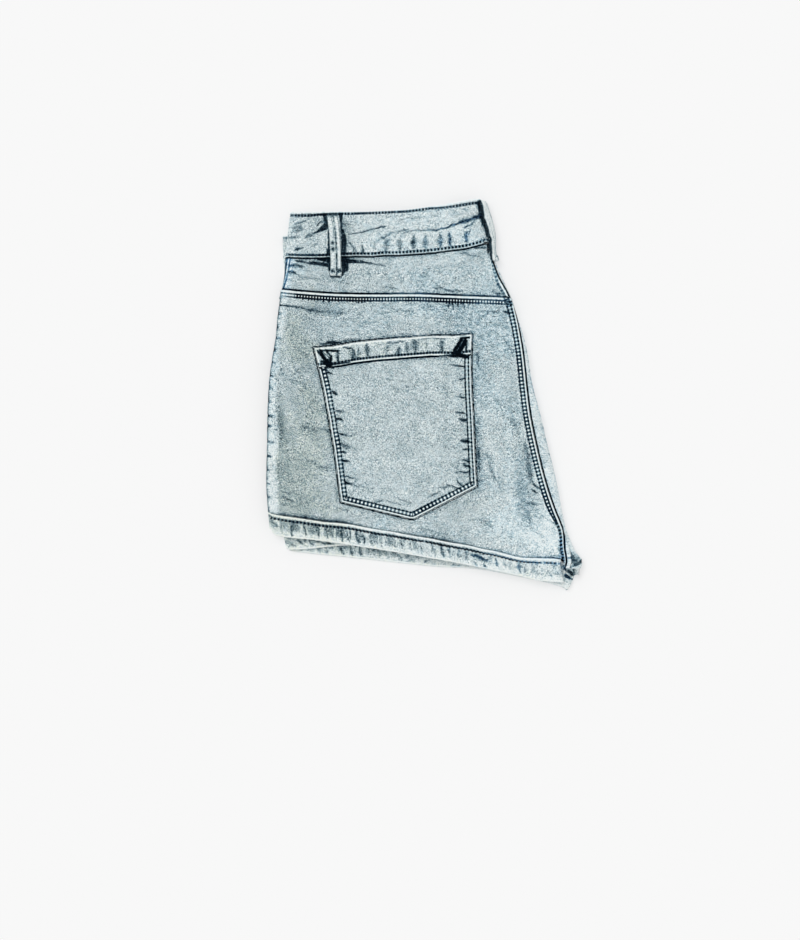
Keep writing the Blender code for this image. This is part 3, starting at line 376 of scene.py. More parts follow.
# Soft streaks of lighter or darker cloth: ends, width, change of fade, and of tint towards blue.
Wash = namedtuple("Wash", "x0 y0 x1 y1 width fade tint")
WASHES = table(
    Wash, (60, 66, 62, 38, 10, -0.05, 0.3), (68, 22, 57, -40, 5, 0.06, 0), (57, -40, 62, -95, 6, 0.05, 0),
    (75, -32, 79, -108, 5, 0.06, 0.2), (70, -112, 112, -134, 12, 0.07, 0.5),
    (86, -75, 90, -116, 5.5, -0.13, 0.5), (86, -60, 89, -84, 4, -0.06, 0.3),
    (-116, 60, -109, 6, 10, -0.065, -0.5), (-129, -22, -128, -48, 4, -0.1, -0.6),
    (-122, -62, -118, -98, 9, -0.06, -0.7), (-126, -8, -98, -52, 5, 0.05, -0.2),
    (-79, -41, -72, -95, 4.5, -0.06, 0.4), (47, -23, 50, -84, 4.5, -0.09, 0.6),
    (46, 31, 47, -5, 4, -0.05, 0.4), (-106, 50, -104, 26, 8, -0.06, -0.3),
    (-108, 79, -84, 76, 5, -0.05, 0.1), (-105, 72, -80, 70, 9, -0.04, 0), (48, 50, 52, 12, 6, -0.05, 0.2),
    (-103, 158, -98, 132, 11, -0.11, -0.3), (-72, 158, -70, 140, 5, -0.16, -0.4),
    (-88, 106, -72, 103, 5, -0.12, 0.2), (8, 77, 38, 68, 9, -0.08, 0.2),
    (-104, 3, -98, -14, 6, -0.07, -0.5), (60, -140, 125, -160, 12, 0.08, 0.1),
    (108, -120, 122, -140, 8, 0.08, 0.2), (100, -70, 116, -112, 3.5, 0.05, 0.4),
    (30, -70, 42, -84, 5, -0.06, 0.4), (-84, 80, -60, 74, 7, -0.04, 0.1),
    (-121, 119, -112, 112, 4.5, 0.14, 0.8), (-134, -66, -130, -84, 7, -0.07, -0.3),
    (22, 58, 38, 51, 7, -0.06, 0.2), (112, -108, 121, -136, 6, 0.07, 0.5),
    (88, -128, 118, -138, 7, 0.06, 0.3), (121.3, -132, 122.4, -145, 1.5, -0.28, 1.6),
    (-126, 100, -118, 88, 5, 0.1, 0.2),
)
# How much ink is left in each seam along it, by x: its dark line, of dye and painted shade, its rows, and
# the rungs between them.
Inks = namedtuple("Inks", "x line rows rungs")
YOKE_INKS = table(
    Inks, (-130, 0.65, 0.3, 0), (-119, 0.85, 0.6, 0), (-114, 0.95, 1, 1.25), (-86, 1, 0.95, 1.05),
    (-58, 0.95, 1, 1.2), (-44, 0.8, 0.75, 0.8), (-30, 0.7, 0.8, 0.6), (-16, 0.5, 0.9, 0.85),
    (-2, 0.55, 0.7, 0.7), (12, 0.85, 1, 1.1), (26, 0.8, 0.95, 1.15), (40, 0.55, 0.7, 0.9),
    (54, 0.7, 0.65, 0.6), (68, 0.5, 0.6, 0.75),
)
BAND_INKS = table(
    Inks, (-124, 0.65, 0.6, 0), (-110, 0.65, 0.6, 0), (-96, 0.85, 0.8, 0), (-68, 0.8, 0.95, 0),
    (-54, 0.5, 0.7, 0), (-40, 0.5, 0.85, 0), (-26, 0.35, 0.5, 0), (-12, 0.5, 0.8, 0), (10, 0.55, 0.65, 0),
    (30, 0.55, 0.85, 0), (44, 0.55, 0.65, 0),
)
WAIST_INKS = table(
    Inks, (-122, 1, 0.4, 0), (-106, 1, 0.9, 0), (-78, 1, 1, 0), (-64, 1, 0.7, 0), (-36, 1, 0.7, 0),
    (-8, 1, 0.6, 0), (20, 1, 0.5, 0), (34, 1, 0.85, 0),
)
HEM_INKS = table(
    Inks, (-136, 0.45, 0.8, 0), (-124, 0.7, 1.1, 0), (-100, 0.9, 1, 0), (-76, 0.95, 1.1, 0),
    (-64, 0.55, 1.05, 0), (-52, 0.25, 0.95, 0), (-34, 0.2, 0.8, 0), (-16, 0.4, 0.9, 0), (-4, 0.5, 0.7, 0),
    (8, 0.75, 0.9, 0), (20, 0.85, 0.85, 0), (32, 0.45, 0.75, 0), (44, 0.2, 0.9, 0), (56, 0.35, 0.6, 0),
    (80, 0.4, 0.65, 0), (92, 0.25, 0.45, 0), (116, 0.55, 0.45, 0),
)
# The painted shadow in the gap beside the centre loop: its two sides, by height.
LoopGap = namedtuple("LoopGap", "y left right")
LOOP_GAP_SHADOW = table(
    LoopGap, (175.7, 47.3, 50), (172.1, 47.1, 51.8), (168.5, 47.3, 52.8), (164, 48, 53.4),
    (161.3, 47.7, 53.7), (159.5, 46.4, 53.8), (157.7, 50, 54.3), (155, 50.4, 55.6), (151.4, 52.2, 56.8),
    (147.8, 53.5, 57.7), (143.3, 54.9, 58.9), (138.8, 57.1, 60.7), (136.1, 56.5, 60.4),
    (132.5, 56.1, 60.7), (128, 56.4, 61.1), (124.4, 57.6, 61), (120.8, 59, 61.6), (117.2, 61.6, 62.6),
)
# Dark specks on the left belt loop: how far across and down it, their size and how dark they are.
LoopDot = namedtuple("LoopDot", "x y size ink")
LOOP_DOTS = table(
    LoopDot, (-2.3, 27, 1.5, 1), (-2.3, 32.4, 1.6, 1), (1, 30.5, 1.1, 0.8), (-2.6, 52, 1.6, 1.1),
    (-1.2, 52.6, 1.2, 0.9), (1.9, 52.4, 1.5, 1.1), (3.4, 51.4, 1.6, 1.1), (-4.2, 1.3, 1.6, 1.1),
    (-2.4, 1.2, 1.5, 1.1), (-0.8, 1.1, 1.5, 1.1), (0.9, 0.6, 1.6, 1.1), (2.6, 1, 1.5, 1.1),
    (4.2, 1, 1.7, 1.1), (1, 3.2, 1, 0.7),
)
# Broad patches where the wash has left the cloth lighter, darker, warmer or bluer.
Tone = namedtuple("Tone", "x y radius fade tint")
TONES = table(
    Tone, (-118, 60, 45, -0.02, -0.3), (-115, -40, 42, -0.085, -1), (-112, -95, 30, -0.05, -0.8),
    (66, -10, 30, 0, 0.7), (95, -120, 36, 0.105, 0.6), (10, 107, 60, 0.03, 0.5), (60, 60, 30, -0.01, 0.9),
    (-10, 68, 60, -0.012, 0.2), (-30, -110, 40, 0, 0.3), (88, -92, 14, -0.07, 0.2),
)
# The rows of the hidden layers round their edge: height as a share, and which layer shows there.
Level = namedtuple("Level", "share layer")
LEVELS = table(
    Level, (0, 0), (0.03, 0), (0.07, 0), (0.13, 0), (0.19, 0), (0.25, 0), (0.295, 0), (0.33, 1),
    (0.38, 1), (0.43, 1), (0.48, 1), (0.54, 1), (0.6, 1), (0.64, 1), (0.675, 2), (0.7, 2), (0.735, 2),
    (0.77, 2), (0.81, 2), (0.86, 2), (0.895, 2), (0.95, 2), (1, 2),
)
# How far in or out the front layers' edge lies at the side, by height as a share.
Lobe = namedtuple("Lobe", "y out")
FRONT_LOBE = table(Lobe, (0.655, 1), (0.675, 1), (0.77, -1.2), (0.86, -1.5), (0.895, 0), (1, 0))
# How the dye looks as it wears: share of the way from raw indigo to white, and its colour.
Dye = namedtuple("Dye", "fade colour")
DYES = table(
    Dye, (0, (0, 7, 16)), (0.1, (8, 26, 39)), (0.2, (30, 52, 67)), (0.34, (67, 93, 107)),
    (0.5, (112, 138, 149)), (0.66, (160, 183, 189)), (0.84, (205, 221, 224)), (1, (242, 247, 246)),
)
THREAD_DYES = table(Dye, (0, (2, 8, 16)), (1, (18, 32, 46)))
# Each sheet: what it was cut to (across, along) in metres, the area of a cut that isn't a rectangle, in
# square metres, and what it lies on.
Cut = namedtuple("Cut", "piece flat area rests_on")
CUTS = table(
    Cut, ("band", (0.742, 0.039), None, ["hidden_layers_cloth"]),
    ("yoke_left", (0.212, 0.042), 0.0078, ["hidden_layers_cloth"]),
    ("yoke_right", (0.03, 0.045), 0.00053, ["hidden_layers_cloth"]),
    ("back_left", (0.27, 0.245), 0.054, ["hidden_layers_cloth"]),
    ("back_right", (0.04, 0.245), 0.0044, ["hidden_layers_cloth"]),
    ("pocket", (0.142, 0.165), 0.0186, ["back_left_cloth"]),
    ("hem_left", (0.53, 0.022), None, ["hidden_layers_cloth"]),
    ("hem_right", (0.52, 0.022), None, ["hidden_layers_cloth"]),
    ("loop_left", (0.012, 0.057), None, ["waistband_cloth"]),
    ("loop_centre", (0.016, 0.057), None, ["waistband_cloth"]), ("hidden", (0.285, 0.3), 0.066, []),
)

# ---------------------------------------------------------------- arrays and curves

def lerp(a, b, t):
    return a + (b - a) * t


def clamp(t):
    return np.clip(t, 0.0, 1.0)


def ease(t):
    t = clamp(t)
    return t * t * (3.0 - 2.0 * t)


def hill(distance, width):
    """1 at distance 0, and next to nothing past twice the width."""
    return np.exp(-((distance / width) ** 2))


def largest(*arrays):
    return np.maximum.reduce(np.broadcast_arrays(*arrays))


def smooth(keys, values):
    """Curve through the values at the keys, level where they turn, held at both ends."""
    order = np.argsort(keys)
    keys = np.array(keys, float)[order]
    values = np.array(values, float)[order]
    slopes = np.diff(values) / np.diff(keys)
    before, after = slopes[:-1], slopes[1:]
    same = before * after > 0
    middle = np.where(same, 2 * before * after / np.where(same, before + after, 1.0), 0.0)
    tangents = np.concatenate([slopes[:1], middle, slopes[-1:]])

    def value(at):
        at = np.clip(at, keys[0], keys[-1])
        i = np.clip(np.searchsorted(keys, at, side="right") - 1, 0, len(keys) - 2)
        span = keys[i + 1] - keys[i]
        t = (at - keys[i]) / span
        return (
            values[i] * (1 + 2 * t) * (1 - t) ** 2
            + tangents[i] * span * t * (1 - t) ** 2
            + values[i + 1] * t * t * (3 - 2 * t)
            - tangents[i + 1] * span * t * t * (1 - t)
        )

    return value


def column(rows, name, by="y"):
    """Curve through one column of a table, against another."""
    return smooth([getattr(row, by) for row in rows], [getattr(row, name) for row in rows])


def across(points):
    return column(points, "y", by="x")


def crossing(edge, row, like):
    """Where an outline, x from y, meets a row, y from x, for an array shaped as like."""
    x = edge(np.zeros_like(like, dtype=float))
    for _ in range(14):
        x = lerp(x, edge(row(x)), 0.8)
    return x


def wander(place, size, seed):
    """Smooth random numbers from 0 to 1 along a line, with a swing about each size."""
    values = np.random.default_rng(seed).random(2048)
    place = place / size + 512.0
    cell = np.floor(place).astype(int)
    return lerp(values[cell % 2048], values[(cell + 1) % 2048], ease(place - cell))


def drift(x, y, size, seed):
    """Smooth random numbers from 0 to 1 over the plane."""
    side = 256
    values = np.random.default_rng(seed).random((side, side))
    u, v = x / size + side * 4, y / size + side * 4
    i, j = np.floor(u).astype(int), np.floor(v).astype(int)
    a, b = ease(u - i), ease(v - j)
    i, j = i % side, j % side
    i1, j1 = (i + 1) % side, (j + 1) % side
    return lerp(lerp(values[i, j], values[i1, j], a), lerp(values[i, j1], values[i1, j1], a), b)


def by_run(run, x, y):
    """How places lie by a straight run: along it as a share, beside it, and beyond its ends."""
    dx, dy = run.x1 - run.x0, run.y1 - run.y0
    length = math.hypot(dx, dy)
    along = ((x - run.x0) * dx + (y - run.y0) * dy) / length
    beside = ((y - run.y0) * dx - (x - run.x0) * dy) / length
    return along / length, beside, np.maximum(0.0, np.maximum(-along, along - length))


def folds(rows, x, y):
    """Sum of soft straight folds at each place."""
    total = np.zeros_like(x, dtype=float)
    for fold in rows:
        _, beside, past = by_run(fold, x, y)
        total += fold.rise * hill(beside, fold.width) * hill(past, 2 * fold.width)
    return total


def strokes(rows, x, y):
    """How deep each place lies in the creases of a table, 0 to about 1. Their edges are ragged."""
    ragged = 0.7 + 0.6 * drift(x, y, 1.5, 11)
    x, y = x + 1.5 * (drift(x, y, 3.6, 12) - 0.5), y + 1.5 * (drift(x, y, 3.6, 13) - 0.5)
    total = np.zeros_like(x, dtype=float)
    for stroke in rows:
        share, beside, past = by_run(stroke, x, y)
        width = stroke.width * (0.42 + 0.28 * clamp(1 - (2 * share - 1) ** 2))
        total = np.maximum(total, stroke.ink * hill(beside, width) * hill(past, 0.7 * stroke.width))
    return np.minimum(total * ragged * STROKE_GAIN, 1.15)


def bars(rows, x, y):
    """Solid dark marks with round ends, each from its start's width to its end's, 0 to about 1."""
    rough = 0.5 * (drift(x, y, 1.3, 14) - 0.5)
    total = np.zeros_like(x, dtype=float)
    for bar in rows:
        share, beside, past = by_run(bar, x, y)
        off = np.hypot(beside, past) - lerp(bar.start, bar.end, clamp(share)) / 2 + rough
        total = np.maximum(total, bar.ink * (1 - ease(off / 0.9 + 0.5)))
    return total


# ---------------------------------------------------------------- the folded body

waist_top = across(WAIST_TOP)
band_bottom = across(BAND_BOTTOM)
yoke_seam = across(YOKE_SEAM)
hem_crease = across(HEM_CREASE)
hem_edge = {name: across(points) for name, points in HEM_EDGE.items()}
upper_x, lower_x, centre_seam_x, fold_x = (
    column(OUTLINES, name) for name in ("upper", "lower", "seam", "fold"))
flat_top = column(DEPTHS, "top")
fold_run = column(DEPTHS, "fold_run")
SEAM_LINES = (waist_top, band_bottom, yoke_seam, hem_crease)


def body_y(v, x):
    """The row v of the body at x; v counts the seam lines from the waist down."""
    v, x = np.broadcast_arrays(v, x)
    i = np.clip(np.floor(v).astype(int), 0, len(SEAM_LINES) - 2)
    lines = np.stack([line(x) for line in SEAM_LINES])
    above = np.take_along_axis(lines, i[None], 0)[0]
    below = np.take_along_axis(lines, i[None] + 1, 0)[0]
    return lerp(above, below, v - i)


def top_z(x, y):
    return flat_top(y) + folds(BODY_FOLDS, x, y)


def side_edge(y):
    return upper_x(y) + SKIN


def fold_edge(y):
    return fold_x(y) - SKIN


class Rows:
    """Rows of the body at the heights v, and where they meet the side and the fold."""

    def __init__(self, v):
        self.v = np.asarray(v, float).reshape(-1, 1)
        self.side = crossing(side_edge, self.y, self.v)
        self.fold = crossing(fold_edge, self.y, self.v)
        self.run = fold_run(self.y(self.fold))
        self.start = self.side + SIDE_RUN
        self.flat = self.fold - self.run
        self.seam = crossing(centre_seam_x, self.y, self.v)
        self.seam = self.seam - SKIN * self.lean(self.seam)

    def y(self, x):
        return body_y(self.v, x)

    def t_of_x(self, x):
        over = np.arcsin(clamp((x - self.flat) / self.run)) / (math.pi / 2)
        return np.where(x <= self.flat, (x - self.start) / (self.flat - self.start), 1 + over)

    def lean(self, x):
        """How far the cloth faces +X where its outside is seen at x, near the fold."""
        reach = (top_z(x, self.y(x)) - SKIN) / 2
        sine = clamp((x - self.flat) / (self.run + SKIN))
        across_it, up = sine * reach, np.sqrt(1 - sine * sine) * self.run
        return across_it / np.hypot(across_it, up)

    def seam_t(self, offset):
        return self.t_of_x(self.seam + offset)

    def skin(self, t, lift):
        """Points over the hidden layers, lifted off them: t as in the part, -1 to 3."""
        down = clamp(-t) * math.pi / 2
        over = np.maximum(t - 1, 0.0) * math.pi / 2
        x = lerp(self.start, self.flat, clamp(t)) - SIDE_RUN * np.sin(down) + self.run * np.sin(over)
        y = self.y(x)
        crown = top_z(np.where(t < 0, self.start, np.where(t > 1, self.flat, x)), y)
        rise = crown * (1 - SEAM_LINE)
        half = crown - (crown + SKIN) / 2
        z = crown - rise * (1 - np.cos(down)) - half * (1 - np.cos(over))
        nx = np.where(t < 0, -np.sin(down) * rise, np.sin(over) * half)
        nz = np.where(t < 0, np.cos(down) * SIDE_RUN, np.cos(over) * self.run)
        level = (t >= 0) & (t <= 1)
        nx, nz = np.where(level, 0.0, nx), np.where(level, 1.0, nz)
        size = np.hypot(nx, nz)
        return np.stack([x + lift * nx / size, y + 0 * x, z + lift * nz / size], -1)


class Line:
    """A line of sewing seen from above: how far places lie to its left, and how far along it."""

    def __init__(self, points):
        self.points = np.array(points, float)
        steps = np.diff(self.points, axis=0)
        self.lengths = np.hypot(steps[:, 0], steps[:, 1])
        self.steps = steps / self.lengths[:, None]
        self.ends = np.concatenate([[0.0], np.cumsum(self.lengths)])

    def beside(self, x, y, part=20000):
        """Distance to the left of the line and along it, worked out a part of the places at a time."""
        flat_x, flat_y = x.ravel(), y.ravel()
        away, along = np.empty(len(flat_x)), np.empty(len(flat_x))
        for a in range(0, len(flat_x), part):
            dx = flat_x[a:a + part, None] - self.points[None, :-1, 0]
            dy = flat_y[a:a + part, None] - self.points[None, :-1, 1]
            run = dx * self.steps[:, 0] + dy * self.steps[:, 1]
            left = dy * self.steps[:, 0] - dx * self.steps[:, 1]
            held = np.clip(run, 0.0, self.lengths)
            far = np.hypot(left, run - held)
            pick = far.argmin(1)
            rows = np.arange(len(pick))
            away[a:a + part] = far[rows, pick] * np.where(left[rows, pick] < 0, -1.0, 1.0)
            along[a:a + part] = self.ends[pick] + held[rows, pick]
        return away.reshape(x.shape), along.reshape(x.shape)

    def offset(self, distance, trim=(0.0, 0.0)):
        """The line moved to its left by a distance, as points a millimetre apart."""
        s = np.arange(trim[0], self.ends[-1] - trim[1], 1.0)
        x = np.interp(s, self.ends, self.points[:, 0])
        y = np.interp(s, self.ends, self.points[:, 1])
        dx, dy = np.gradient(x), np.gradient(y)
        size = np.hypot(dx, dy)
        return np.stack([x - distance * dy / size, y + distance * dx / size], -1)


def line_steps(start, end):
    return np.linspace(start, end, int(abs(end - start) / LINE_STEP) + 2)


def line_along(curve, start, end):
    """A Line from x = start to end on a curve y(x)."""
    x = line_steps(start, end)
    return Line(np.stack([x, curve(x)], -1))


def line_down(curve, start, end):
    """A Line from y = start to end on a curve x(y)."""
    y = line_steps(start, end)
    return Line(np.stack([curve(y), y], -1))


def pocket_edges(s, w):
    """A place on the pocket: s from its left to its right edge, w from its top to its lower edge."""
    s, w = np.broadcast_arrays(s, w)
    top_x = lerp(POCKET_TOP[0].x, POCKET_TOP[-1].x, s)
    top_y = across(POCKET_TOP)(top_x)
    left = s < POCKET_SPLIT
    part = np.where(left, s / POCKET_SPLIT, (1 - s) / (1 - POCKET_SPLIT))
    foot_x = lerp(np.where(left, POCKET_LEFT[-1].x, POCKET_RIGHT[-1].x), POCKET_POINT.x, part)
    foot_y = lerp(np.where(left, POCKET_LEFT[-1].y, POCKET_RIGHT[-1].y), POCKET_POINT.y, part)
    bows = []
    for line in (POCKET_LEFT, POCKET_RIGHT):
        edge = column(line, "x")
        bows.append(edge(lerp(line[0].y, line[-1].y, w)) - lerp(line[0].x, line[-1].x, w))
    return lerp(top_x, foot_x, w) + lerp(bows[0], bows[1], s), lerp(top_y, foot_y, w)


def pocket_line():
    """The pocket's outline from its top left corner down, round its point and up, its left inside."""
    down = np.linspace(0.0, 1.0, 40)
    ones = np.ones_like(down)
    sides = [pocket_edges(0 * ones, down), pocket_edges(down, ones), pocket_edges(ones, down[::-1])]
    points = np.concatenate([np.stack(side, -1)[:-1] for side in sides])
    return Line(np.concatenate([points, [POCKET_TOP[-1]]]))


YOKE_LINE = line_along(yoke_seam, -135, 92)               # its left is above it
CENTRE_LINE = line_down(centre_seam_x, 126, -160)         # its left is the right half
POCKET_LINE = pocket_line()
POCKET_TOP_LINE = line_along(across(POCKET_TOP), POCKET_TOP[0].x, POCKET_TOP[-1].x)
FAR = 60.0                # beyond the reach of any seam's look
# By y. Towards the leg's end the centre-back seam's dark line runs further in than the panel's edge, and
# its two rows close up and become one. Across the yoke its one row runs further in than the line.
seam_in = smooth([-164, -155, -142, -136, -129, -121, -113], [3.8, 4.6, 5.0, 4.0, 1.9, 0.3, 0.0])
rows_middle = smooth([-164, -136, -121, -111, -99], [2.3, 2.4, 2.8, 3.5, 4.1])
rows_half = smooth([-121, -111, -99], [0.0, 0.9, 1.55])
yoke_row_in = smooth([91, 97, 106, 115, 121], [4.5, 4.7, 3.3, 2.3, 1.8])


# ---------------------------------------------------------------- how the cloth looks and lies

def tone(x, y):
    """The broad drift of the cloth's fade and tint over the shorts."""
    fade = np.full(np.shape(x), BASE_FADE)
    tint = np.full(np.shape(x), BASE_TINT)
    for t in TONES:
        near = hill(np.hypot(x - t.x, y - t.y), t.radius)
        fade, tint = fade + t.fade * near, tint + t.tint * near
    for wash in WASHES:
        _, beside, past = by_run(wash, x, y)
        near = hill(np.hypot(beside, past), wash.width)
        fade, tint = fade + wash.fade * near, tint + wash.tint * near
    fade = fade + 0.05 * (drift(x, y, 16, 21) - 0.5) + 0.05 * (drift(x, y, 6, 22) - 0.5)
    tint = tint + 0.9 * (drift(x, y, 20, 23) - 0.5)
    return fade, np.clip(tint, -1, 1)


def felled(d, along, sewing):
    """Height of a felled seam at a distance d in from its edge, its two rows and rungs sunk in."""
    top = ease(d / 0.9) * (1 - ease(d - SEAM_WIDTH + 0.3))
    off = np.abs(d - sewing.middle)
    rows = hill(np.abs(off - sewing.half), 0.6)
    rung = clamp(0.5 + np.cos(2 * math.pi * along / sewing.pitch)) * (1 - ease((off - sewing.half) / 0.8))
    crown = hill(d - 1.3, 0.9)
    return SEAM_RISE * top + 0.25 * crown * top - GROOVE * np.maximum(rows, 0.8 * rung)


def nearest(*distances):
    """The distance that is smallest, with its sign."""
    stack = np.stack(np.broadcast_arrays(*distances))
    pick = np.abs(stack).argmin(0)
    return np.take_along_axis(stack, pick[None], 0)[0]


def sewn(distance, along, sewing):
    """What the cloth's material reads of a seam: distance from the middle of its rows, which
    stitch it is at, and half the distance between the rows."""
    return np.stack(np.broadcast_arrays(distance - sewing.middle, along / sewing.pitch, sewing.half), -1)


def no_sewing(x):
    return np.stack(np.broadcast_arrays(np.full(np.shape(x), FAR), 0.0, 0.0), -1)


def ink(rows, name, x):
    """How much ink a seam's line, rows or rungs keep at x."""
    return column(rows, name, by="x")(x)


gap_left = column(LOOP_GAP_SHADOW, "left")
gap_right = column(LOOP_GAP_SHADOW, "right")


def loop_shadow_and_dye(x, y):
    """Unfaded dye and painted shadow in the gaps round both belt loops."""
    soft = 0.55 * hill(x + 74, 5.5) * ease((y - 128) / 6) * (1 - ease((y - 150) / 10)) * (x > -80)
    left = ease((x - gap_left(y)) / 0.9 + 0.4)
    gap = left * ease((gap_right(y) + 4.0 - x) / 1.5) * ease((y - 115.5) / 4)
    return largest(bars(LOOP_SHADOW_AND_DYE_BARS, x, y), soft * drift(x, y, 1.6, 31), gap * 1.15)


def body_paint(x, y, creases):
    """Fade, tint and trough of a panel at places on the body, with the painted shadow round the belt loops.
    """
    fade, tint = tone(x, y)
    dark = strokes(creases, x, y)
    shade = loop_shadow_and_dye(x, y)
    fade = fade - INDIGO * np.maximum(dark, 1.2 * shade)
    return fade, tint, TROUGH * np.maximum(dark, 0.4 * shade)


def undulation(x, y):
    """The cloth's own small unevenness."""
    broad = drift(x, y, 26, 41) + 0.5 * drift(x, y, 11, 42) + 0.22 * drift(x, y, 4.5, 43)
    return 0.34 * (broad / 1.72 - 0.5)


# ---------------------------------------------------------------- meshes

def add_to_scene(name, data):
    item = bpy.data.objects.new(name, data)
    bpy.context.scene.collection.objects.link(item)
    return item


def make_object(name, points, faces, looks):
    """A mesh of points in millimetres; looks are its attributes, a number or three for each point."""
    mesh = bpy.data.meshes.new(name)
    mesh.from_pydata((points * MM).tolist(), [], faces)
    for key, values in looks.items():
        kind, field = ("FLOAT_VECTOR", "vector") if values.ndim == 2 else ("FLOAT", "value")
        attribute = mesh.attributes.new(key, kind, "POINT")
        attribute.data.foreach_set(field, np.ascontiguousarray(values, np.float32).ravel())
    mesh.shade_smooth()
    item = add_to_scene(name, mesh)
    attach(item, BODY)
    return item


def grid_faces(rows, columns, wrap=False, first=0, back=False):
    """Quads over a grid of points; wrap joins both of its ends, and back turns them over."""
    r = np.arange(rows if wrap else rows - 1)[:, None]
    c = np.arange(columns if wrap else columns - 1)[None, :]
    r1, c1 = (r + 1) % rows, (c + 1) % columns
    corners = (r * columns + c, r1 * columns + c, r1 * columns + c1, r * columns + c1)
    quads = np.stack(np.broadcast_arrays(*corners), -1).reshape(-1, 4) + first
    return (quads[:, ::-1] if back else quads).tolist()


def perimeter(rows, columns, first=0):
    """Indexes round a grid and back to its start: down its first column, along, up, and back."""
    down = [(r, 0) for r in range(rows)]
    along = [(rows - 1, c) for c in range(1, columns)]
    up = [(r, columns - 1) for r in range(rows - 2, -1, -1)]
    back = [(0, c) for c in range(columns - 2, -1, -1)]
    return [first + r * columns + c for r, c in down + along + up + back]


def sheet_mesh(name, node, outer, under, looks):
    """A closed thin sheet in place of a node: a fine outside and a coarse underside, joined at the rim."""
    rows, columns = outer.shape[:2]
    low = under[::COARSE, ::COARSE]
    low_rows, low_columns = low.shape[:2]
    first = rows * columns
    points = np.concatenate([outer.reshape(-1, 3), low.reshape(-1, 3)])
    faces = grid_faces(rows, columns)
    faces += grid_faces(low_rows, low_columns, first=first, back=True)
    rim = perimeter(rows, columns)
    rim_low = perimeter(low_rows, low_columns, first)
    for k, (a, b) in enumerate(zip(rim_low, rim_low[1:])):
        start = k * COARSE
        for m in range(COARSE):
            near = a if m < COARSE // 2 else b
            faces.append((rim[start + m + 1], rim[start + m], near))
        faces.append((rim[start + COARSE // 2], a, b))
    every = {}
    for key, values in looks.items():
        width = values.shape[2:]
        coarse = values[::COARSE, ::COARSE]
        every[key] = np.concatenate([values.reshape(-1, *width), coarse.reshape(-1, *width)])
    item = make_object(name, points, faces, every)
    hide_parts(node)
    return item


def looks_of(fade, tint, rim, level, upright, rungs=0.0, line=1.0, rows=1.0):
    """Attributes that the cloth's material reads; the last three are how much ink the seams keep."""
    inks = np.stack([np.broadcast_to(kept, fade.shape) for kept in (line, rows, rungs)], -1)
    return {
        "fade": fade, "tint": tint, "rim": np.broadcast_to(rim, fade.shape),
        "rows_level": level, "rows_upright": upright, "inks": inks,
    }


def even_steps(start, end, count):
    return np.linspace(start, end, count + 1)


# ---------------------------------------------------------------- panels

PLAIN_LINES = 0.27        # a stitch number that gives two plain lines instead of stitches
SIDE_COLUMNS = 8
FLAT_COLUMNS = 256
STRIP_COLUMNS = 20
YOKE_ROWS = 64
BACK_ROWS = 320
BACK_NEAR_ROWS = 28       # of them close to the yoke seam
NEAR_SEAM = 10.5          # how far the close rows reach
YOKE_HEIGHT = 34.0
BACK_HEIGHT = 215.0
WRAP_COLUMNS = 44         # round the centre-back fold
YOKE_LINE_IN = 1.6        # how far in from the centre seam its dark line is, on the yoke
HEM_CREASE_END = 124


def left_t(rows):
    """Stations across a left panel: round the side fold, over the top, up on to the seam strip."""
    count = len(rows.v)
    side = np.broadcast_to(even_steps(-1.0, 0.0, SIDE_COLUMNS)[:-1], (count, SIDE_COLUMNS))
    foot = rows.seam_t(-SEAM_WIDTH - 1.5)
    flat = foot * even_steps(0.0, 1.0, FLAT_COLUMNS)[:-1]
    strip = rows.t_of_x(rows.seam - even_steps(SEAM_WIDTH + 1.5, 0.1, STRIP_COLUMNS))
    return np.hstack([side, flat, strip])


def hem_crease_ink(x, y):
    """The dark line at the foot of the back panel, over the hem, and its blue."""
    above = hem_crease(np.minimum(x, HEM_CREASE_END)) - y
    kept = ink(HEM_INKS, "line", x) * (0.75 + 0.5 * wander(x, 2.6, 52))
    dark = hill(above + 0.5, 0.8) * kept + 0.55 * hill(above + 2.2, 1.4) * clamp(kept - 0.3)
    return 1.05 * dark, dark * (0.5 + 2.6 * ease((x - 20) / 50))


def from_side(x, y):
    """How far in from the side seam."""
    return x - upper_x(y) - 0.6


def side_wear(x, y, back):
    """The side seam's bright worn band, its dark dashes and the thin dark line at the very edge: how much
    they change the fade and the tint, and their troughs."""
    inward = from_side(x, y)
    reach = 5.0 + 3.2 * ease((0 - y) / 40) + 3.4 * wander(y, 8, 53) + 1.4 * wander(y, 2.6, 55)
    bright = ease((reach - inward) / 2.2) * ease((inward + 0.4) / 0.8)
    fade = ((0.15 + 0.1 * ease((-5 - y) / 45)) if back else 0.08) * bright
    tint = 0.9 * bright
    trough = 0.0
    for dash in SIDE_DASHES if back else ():
        near = hill(y - dash.y + 0.25 * inward, 1.2) * ease((dash.reach + 1.4 - inward) / 1.8)
        fade = fade - INDIGO * 1.25 * dash.ink * near
        tint = tint + 0.8 * near
        trough = trough + TROUGH * dash.ink * near
    edge_line = hill(inward - 0.2, 0.8) * (0.4 + 0.65 * wander(y, 5, 54))
    return fade - 0.6 * edge_line, tint, trough


